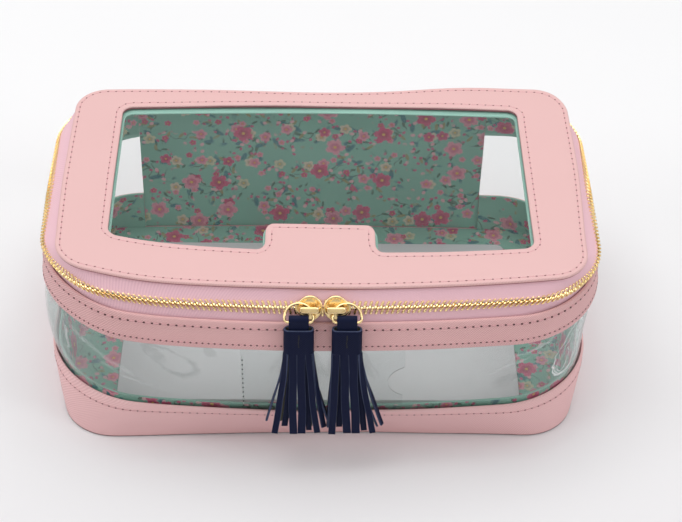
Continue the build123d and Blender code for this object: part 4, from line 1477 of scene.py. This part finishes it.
# Strips: layer, cuts along the rolled band from its front middle, the tip's place across and back,
# the way its grain side faces there, and where it ends.
LEFT_STRIPS = (
    (0, -7.7, -4.6, -11.2, -2.4, -12, 62.6), (0, -4.6, -0.8, -2.4, -2.3, 3, 62.9),
    (0, -0.8, 3.1, 1.5, -2.1, -3, 62.7), (0, 3.1, 6.2, 8.9, -2.2, 10, 62.3),
    (0, 6.2, 8.9, 11.9, -0.6, 35, 60.3), (0, 8.9, 11.7, 14.5, 0.6, 80, 57.7),
    (0, 11.7, 15.1, 5.0, 1.4, 176, 61.0), (0, -15.1, -12.2, -3.0, 1.4, -176, 60.5),
    (0, -12.2, -10.0, -8.2, 1.0, -160, 57.5), (0, -10.0, -7.7, -15.1, -0.4, -92, 56.4),
    (1, 2.2, 5.0, 4.9, -0.6, 0, 62.0), (1, -3.8, -0.8, -6.6, -0.6, 4, 59.5),
)
RIGHT_STRIPS = (
    (0, -6.6, -3.1, -6.3, -2.4, -4, 63.0), (0, -3.1, 0.9, 1.0, -2.3, 2, 62.4),
    (0, 0.9, 5.0, 5.2, -2.1, -3, 62.5), (0, 5.0, 8.1, 12.9, -2.3, 14, 62.2),
    (0, 8.1, 10.6, 17.6, -0.2, 62, 58.8), (0, 10.6, 13.0, 15.0, 0.8, 110, 60.3),
    (0, 13.0, 15.1, 8.0, 1.4, 178, 60.5), (0, -15.1, -12.0, -1.5, 1.4, -178, 60.0),
    (0, -12.0, -9.2, -3.6, 1.1, -168, 59.0), (0, -9.2, -6.6, -8.3, -0.2, -80, 60.0),
    (1, 3.0, 6.0, 9.1, -0.6, 6, 62.0), (1, -2.8, 0.2, -2.8, -0.4, 0, 60.0),
)


def on_band(distance, inset):
    """Place across, place back and facing turn at a distance round the rolled band's outline."""
    flat = BAND_HALF - BAND_DEEP
    radius = BAND_DEEP - inset
    way = 1 if distance > 0 else -1
    run = abs(distance)
    if run < flat:
        return way * run, -radius, 0.0
    turn = min((run - flat) / radius, pi)
    beyond = max(run - flat - pi * radius, 0.0)
    return way * (flat + radius * sin(turn) - beyond), -radius * cos(turn), way * turn


def wire_ring(name, chain, heel):
    """The wire ring: a round heel on the bridge's leg and a straight bar in the strap."""
    down = chain.out * sin(RING_LEAN) - chain.up * cos(RING_LEAN)
    facing = chain.along.cross(down)
    corners = [(-RING_HALF, 0, RING_HEEL), (RING_HALF, 0, RING_HEEL),
               (RING_HALF, RING_LENGTH, RING_FOOT), (-RING_HALF, RING_LENGTH, RING_FOOT)]
    plan = rounded(corners, [22, 22, 7, 7], [2, 4, 14, 4])
    path = [heel + chain.along * p.x + down * p.y for p in plan]
    rows = []
    for index, spot in enumerate(path):
        along = (path[(index + 1) % len(path)] - path[index - 1]).normalized()
        across = facing.cross(along)
        rows.append([spot + (facing * sin(k * pi / 8) + across * cos(k * pi / 8)) * WIRE
                     for k in range(16)])
    shape = Shape()
    shape.grid(rows, loop_rows=True, loop_columns=True)
    shape.piece(f"{name}_ring_wire", [GILT], f"{name}_ring", "gold_metal", [f"{name}_ring"], 60)


def tassel(name, side, chain, strips):
    """Ring, strap over its bar, rolled band and cut strips."""
    body = f"{name}_tassel"
    heel = chain.at(side * RING_SHIFT, HEEL_UP, HEEL_OUT)
    wire_ring(name, chain, heel)
    bar = heel + (chain.out * sin(RING_LEAN) - chain.up * cos(RING_LEAN)) * RING_LENGTH
    across = Vector((1, 0, 0))
    down = Vector((0, -sin(TASSEL_LEAN), -cos(TASSEL_LEAN)))
    back = Vector((0, cos(TASSEL_LEAN), -sin(TASSEL_LEAN)))
    leathers = [NAVY, NAVY_RIM, FLESH]

    def at(x, depth, length):
        return bar + across * x + back * depth + down * length

    loop = WIRE + 0.75
    slack = 1.7
    path = [(-0.95, 8.0), (-0.97, 4.5), (-1.25, 2.0), (-loop, 0.0)]
    path += [(-loop * cos(k * pi / 8), -slack - loop * sin(k * pi / 8)) for k in range(9)]
    path += [(1.2, 0.4), (0.75, 2.2), (0.3, 4.5), (0.25, 8.0)]
    spots = [at(0, depth, length) for depth, length in path]
    strap = Shape()
    strap.solid(along_path(spots, [across] * len(spots), strap_section(9.2, 1.05, 0.22)),
                side_picks=[0, 0, 0, 0, 1, 0, 2, 2, 2, 0, 1, 0])
    strap.piece(f"{name}_strap_leather", leathers, body, "navy_leather", [f"{name}_tassel_strap"], 50)

    def outline(inset, length):
        whole = 2 * (2 * (BAND_HALF - BAND_DEEP) + pi * (BAND_DEEP - inset))
        spots = [on_band(whole * (k / 72 - 0.5) + 0.01, inset) for k in range(72)]
        return [at(x, y + BAND_BACK, length) for x, y, turn in spots]

    rows = [outline(inset, length) for inset, length in (
        (0.95, BAND_TOP_END + 0.2), (0.7, BAND_TOP_END), (0.25, BAND_TOP_END), (0.0, BAND_TOP_END + 0.3),
        (0.0, 6.0), (-0.05, 10.0), (0.0, SLIT_START), (STRIP, SLIT_START), (STRIP, 9.0))]
    band = Shape()
    band.grid(rows, loop_rows=True, loop_columns=True, picks=[1, 1, 1, 0, 0, 0, 1, 2, 2])
    band.piece(f"{name}_rolled_band", leathers, body, "navy_leather", [f"{name}_tassel_cap"], 50)

    fringe = Shape()
    steps = 18
    for index, (layer, low, high, tip, tip_depth, facing, end) in enumerate(strips):
        root, root_depth, root_turn = on_band((low + high) / 2, STRIP / 2 + 1.1 * layer)
        start = SLIT_START - 0.02 - 4.0 * layer
        section = strap_section(high - low - 0.12, STRIP, 0.14)
        sections = []
        for step in range(steps + 1):
            share = step / steps
            ease = share**1.3
            drift = 0.5 * noise.noise(Vector((index * 3.1, share * 2.2, side * 5.0))) * min(1, 3 * share)
            x = root + (tip - root) * ease + drift
            depth = BAND_BACK + root_depth + (tip_depth - root_depth) * ease
            depth += 0.5 * noise.noise(Vector((share * 2.0, index * 1.7, side * 3.0))) * share
            turn = root_turn + (radians(facing) - root_turn) * min(1.0, share * 1.6) ** 1.2
            spot = at(x, depth, start + (end - start) * share)
            along = across * cos(turn) + back * sin(turn)
            out = across * sin(turn) - back * cos(turn)
            slant = 0.14 * noise.noise(Vector((index * 1.3, side * 2.0, 4.0))) if step == steps else 0.0
            sections.append([spot + (along + down * slant) * a + out * b for a, b in section])
        fringe.solid(sections, pick=1, side_picks=[0, 0, 0, 1, 1, 1, 2, 2, 2, 1, 1, 1])
    fringe.piece(f"{name}_cut_strips", leathers, body, "navy_leather", [f"{name}_tassel_fringe"], 50)

    face = BAND_BACK - BAND_DEEP - 0.02
    path = [at(0.12 * sin(k), face, 5.6 + 0.9 * k) for k in range(9)]
    stitch_row(f"{name}_band_stitches", path, [-back] * 9, 2.4, body, materials=(NAVY_THREAD, NAVY_THREAD),
               slot="navy_leather", size=1.25, hole=0.9)


# Put together

shell()
linings()
board()
pocket()
tapes()
zip_rows()
lid_frame()
lid_lining()
lid_film()
hinge_cover()

# The pit materials paint the shade in the needle holes.
for row_name, height, stretch, unevenness, pitch, size, hole, pit in (
    ("band_top_stitches", SEAM - 3.0, "around", BAND_WANDER, 3.8, 1.1, 1.15, HOLE_SHADE),
    ("band_low_stitches", WINDOW_TOP + 2.4, "around", BAND_WANDER, 2.8, 0.9, 0.95, HOLE_SHADE),
    ("base_stitches", BAND_TOP - 3.4, "around", BASE_WANDER, 3.6, 0.9, 0.9, SOFT_HOLE_SHADE),
    ("back_top_stitches", SEAM - 3.0, "behind", BACK_WANDER, 3.8, 1.1, 1.0, HOLE_SHADE),
):
    path, normals = wall_row(height, stretch, unevenness)
    stitch_row(row_name, path, normals, pitch, "bag_body", size=size, hole=hole, materials=(THREAD, pit))
back_edge_stitches()
for name, side, strips in (("left", -1, LEFT_STRIPS), ("right", 1, RIGHT_STRIPS)):
    tassel(name, side, slider(name, side), strips)


# Stage, lights and camera


def area_light(name, spot, size, power):
    """A soft rectangular lamp aimed at the bag."""
    light = bpy.data.lights.new(name, "AREA")
    light.shape = "RECTANGLE"
    light.size, light.size_y = size
    light.energy = power
    lamp = bpy.data.objects.new(name, light)
    bpy.context.scene.collection.objects.link(lamp)
    lamp.location = spot
    lamp.rotation_euler = (Vector((0, 0, 0.05)) - Vector(spot)).to_track_quat("-Z", "Y").to_euler()


def stage():
    """Pale floor, soft lamps and an even surround."""
    mesh = bpy.data.meshes.new("floor")
    reach = 6.0
    mesh.from_pydata([(-reach, -reach, 0), (reach, -reach, 0), (reach, reach, 0), (-reach, reach, 0)],
                     [], [(0, 1, 2, 3)])
    mesh.materials.append(floor_finish())
    ground = bpy.data.objects.new("floor", mesh)
    bpy.context.scene.collection.objects.link(ground)
    area_light("overhead", (-0.1, 0.28, 1.5), (1.6, 1.1), 12.8)
    area_light("left_bank", (-1.3, -0.3, 0.9), (0.7, 0.9), 3.8)
    area_light("right_strip", (1.0, -0.5, 0.8), (0.25, 0.9), 2.8)

    world = bpy.data.worlds.new("surround")
    bpy.context.scene.world = world
    world.use_nodes = True
    tree = world.node_tree
    tree.nodes.clear()
    height = node(tree, "SeparateXYZ", {0: node(tree, "TexCoord").outputs["Generated"]}).outputs[2]
    shown = mixed(tree, spread(tree, height, -0.2, 0.4), (0.55, 0.52, 0.5, 1), (1, 1, 1, 1))
    light = node(tree, "Background", {"Color": shown, "Strength": 0.52})
    studio = mixed(tree, spread(tree, height, 0.0, 0.75), (0.4, 0.38, 0.37, 1), (0.98, 0.98, 0.985, 1))
    white = node(tree, "Background", {"Color": studio, "Strength": 1.0})
    path = node(tree, "LightPath")
    direct = sums(tree, "MAXIMUM", path.outputs["Is Camera Ray"], path.outputs["Is Transmission Ray"])
    direct = sums(tree, "MAXIMUM", direct, path.outputs["Is Glossy Ray"])
    both = node(tree, "MixShader", {0: direct, 1: light.outputs[0], 2: white.outputs[0]})
    output = node(tree, "OutputWorld")
    tree.links.new(both.outputs[0], output.inputs["Surface"])


def camera():
    """The photograph's viewpoint."""
    data = bpy.data.cameras.new("view")
    data.lens = 93.86
    data.sensor_width = 36.0
    made = bpy.data.objects.new("view", data)
    bpy.context.scene.collection.objects.link(made)
    forward = Vector((0.01804827, 0.74292693, -0.66912916))
    right = Vector((0.99981207, -0.00867313, 0.01733803))
    up = Vector((-0.00707745, 0.66931633, 0.74294384))
    turn = Matrix((right, up, -forward)).transposed().to_4x4()
    made.matrix_world = Matrix.Translation((-0.005312, -0.671789, 0.650477)) @ turn
    bpy.context.scene.camera = made


stage()
camera()
bpy.context.scene.view_settings.view_transform = "Standard"
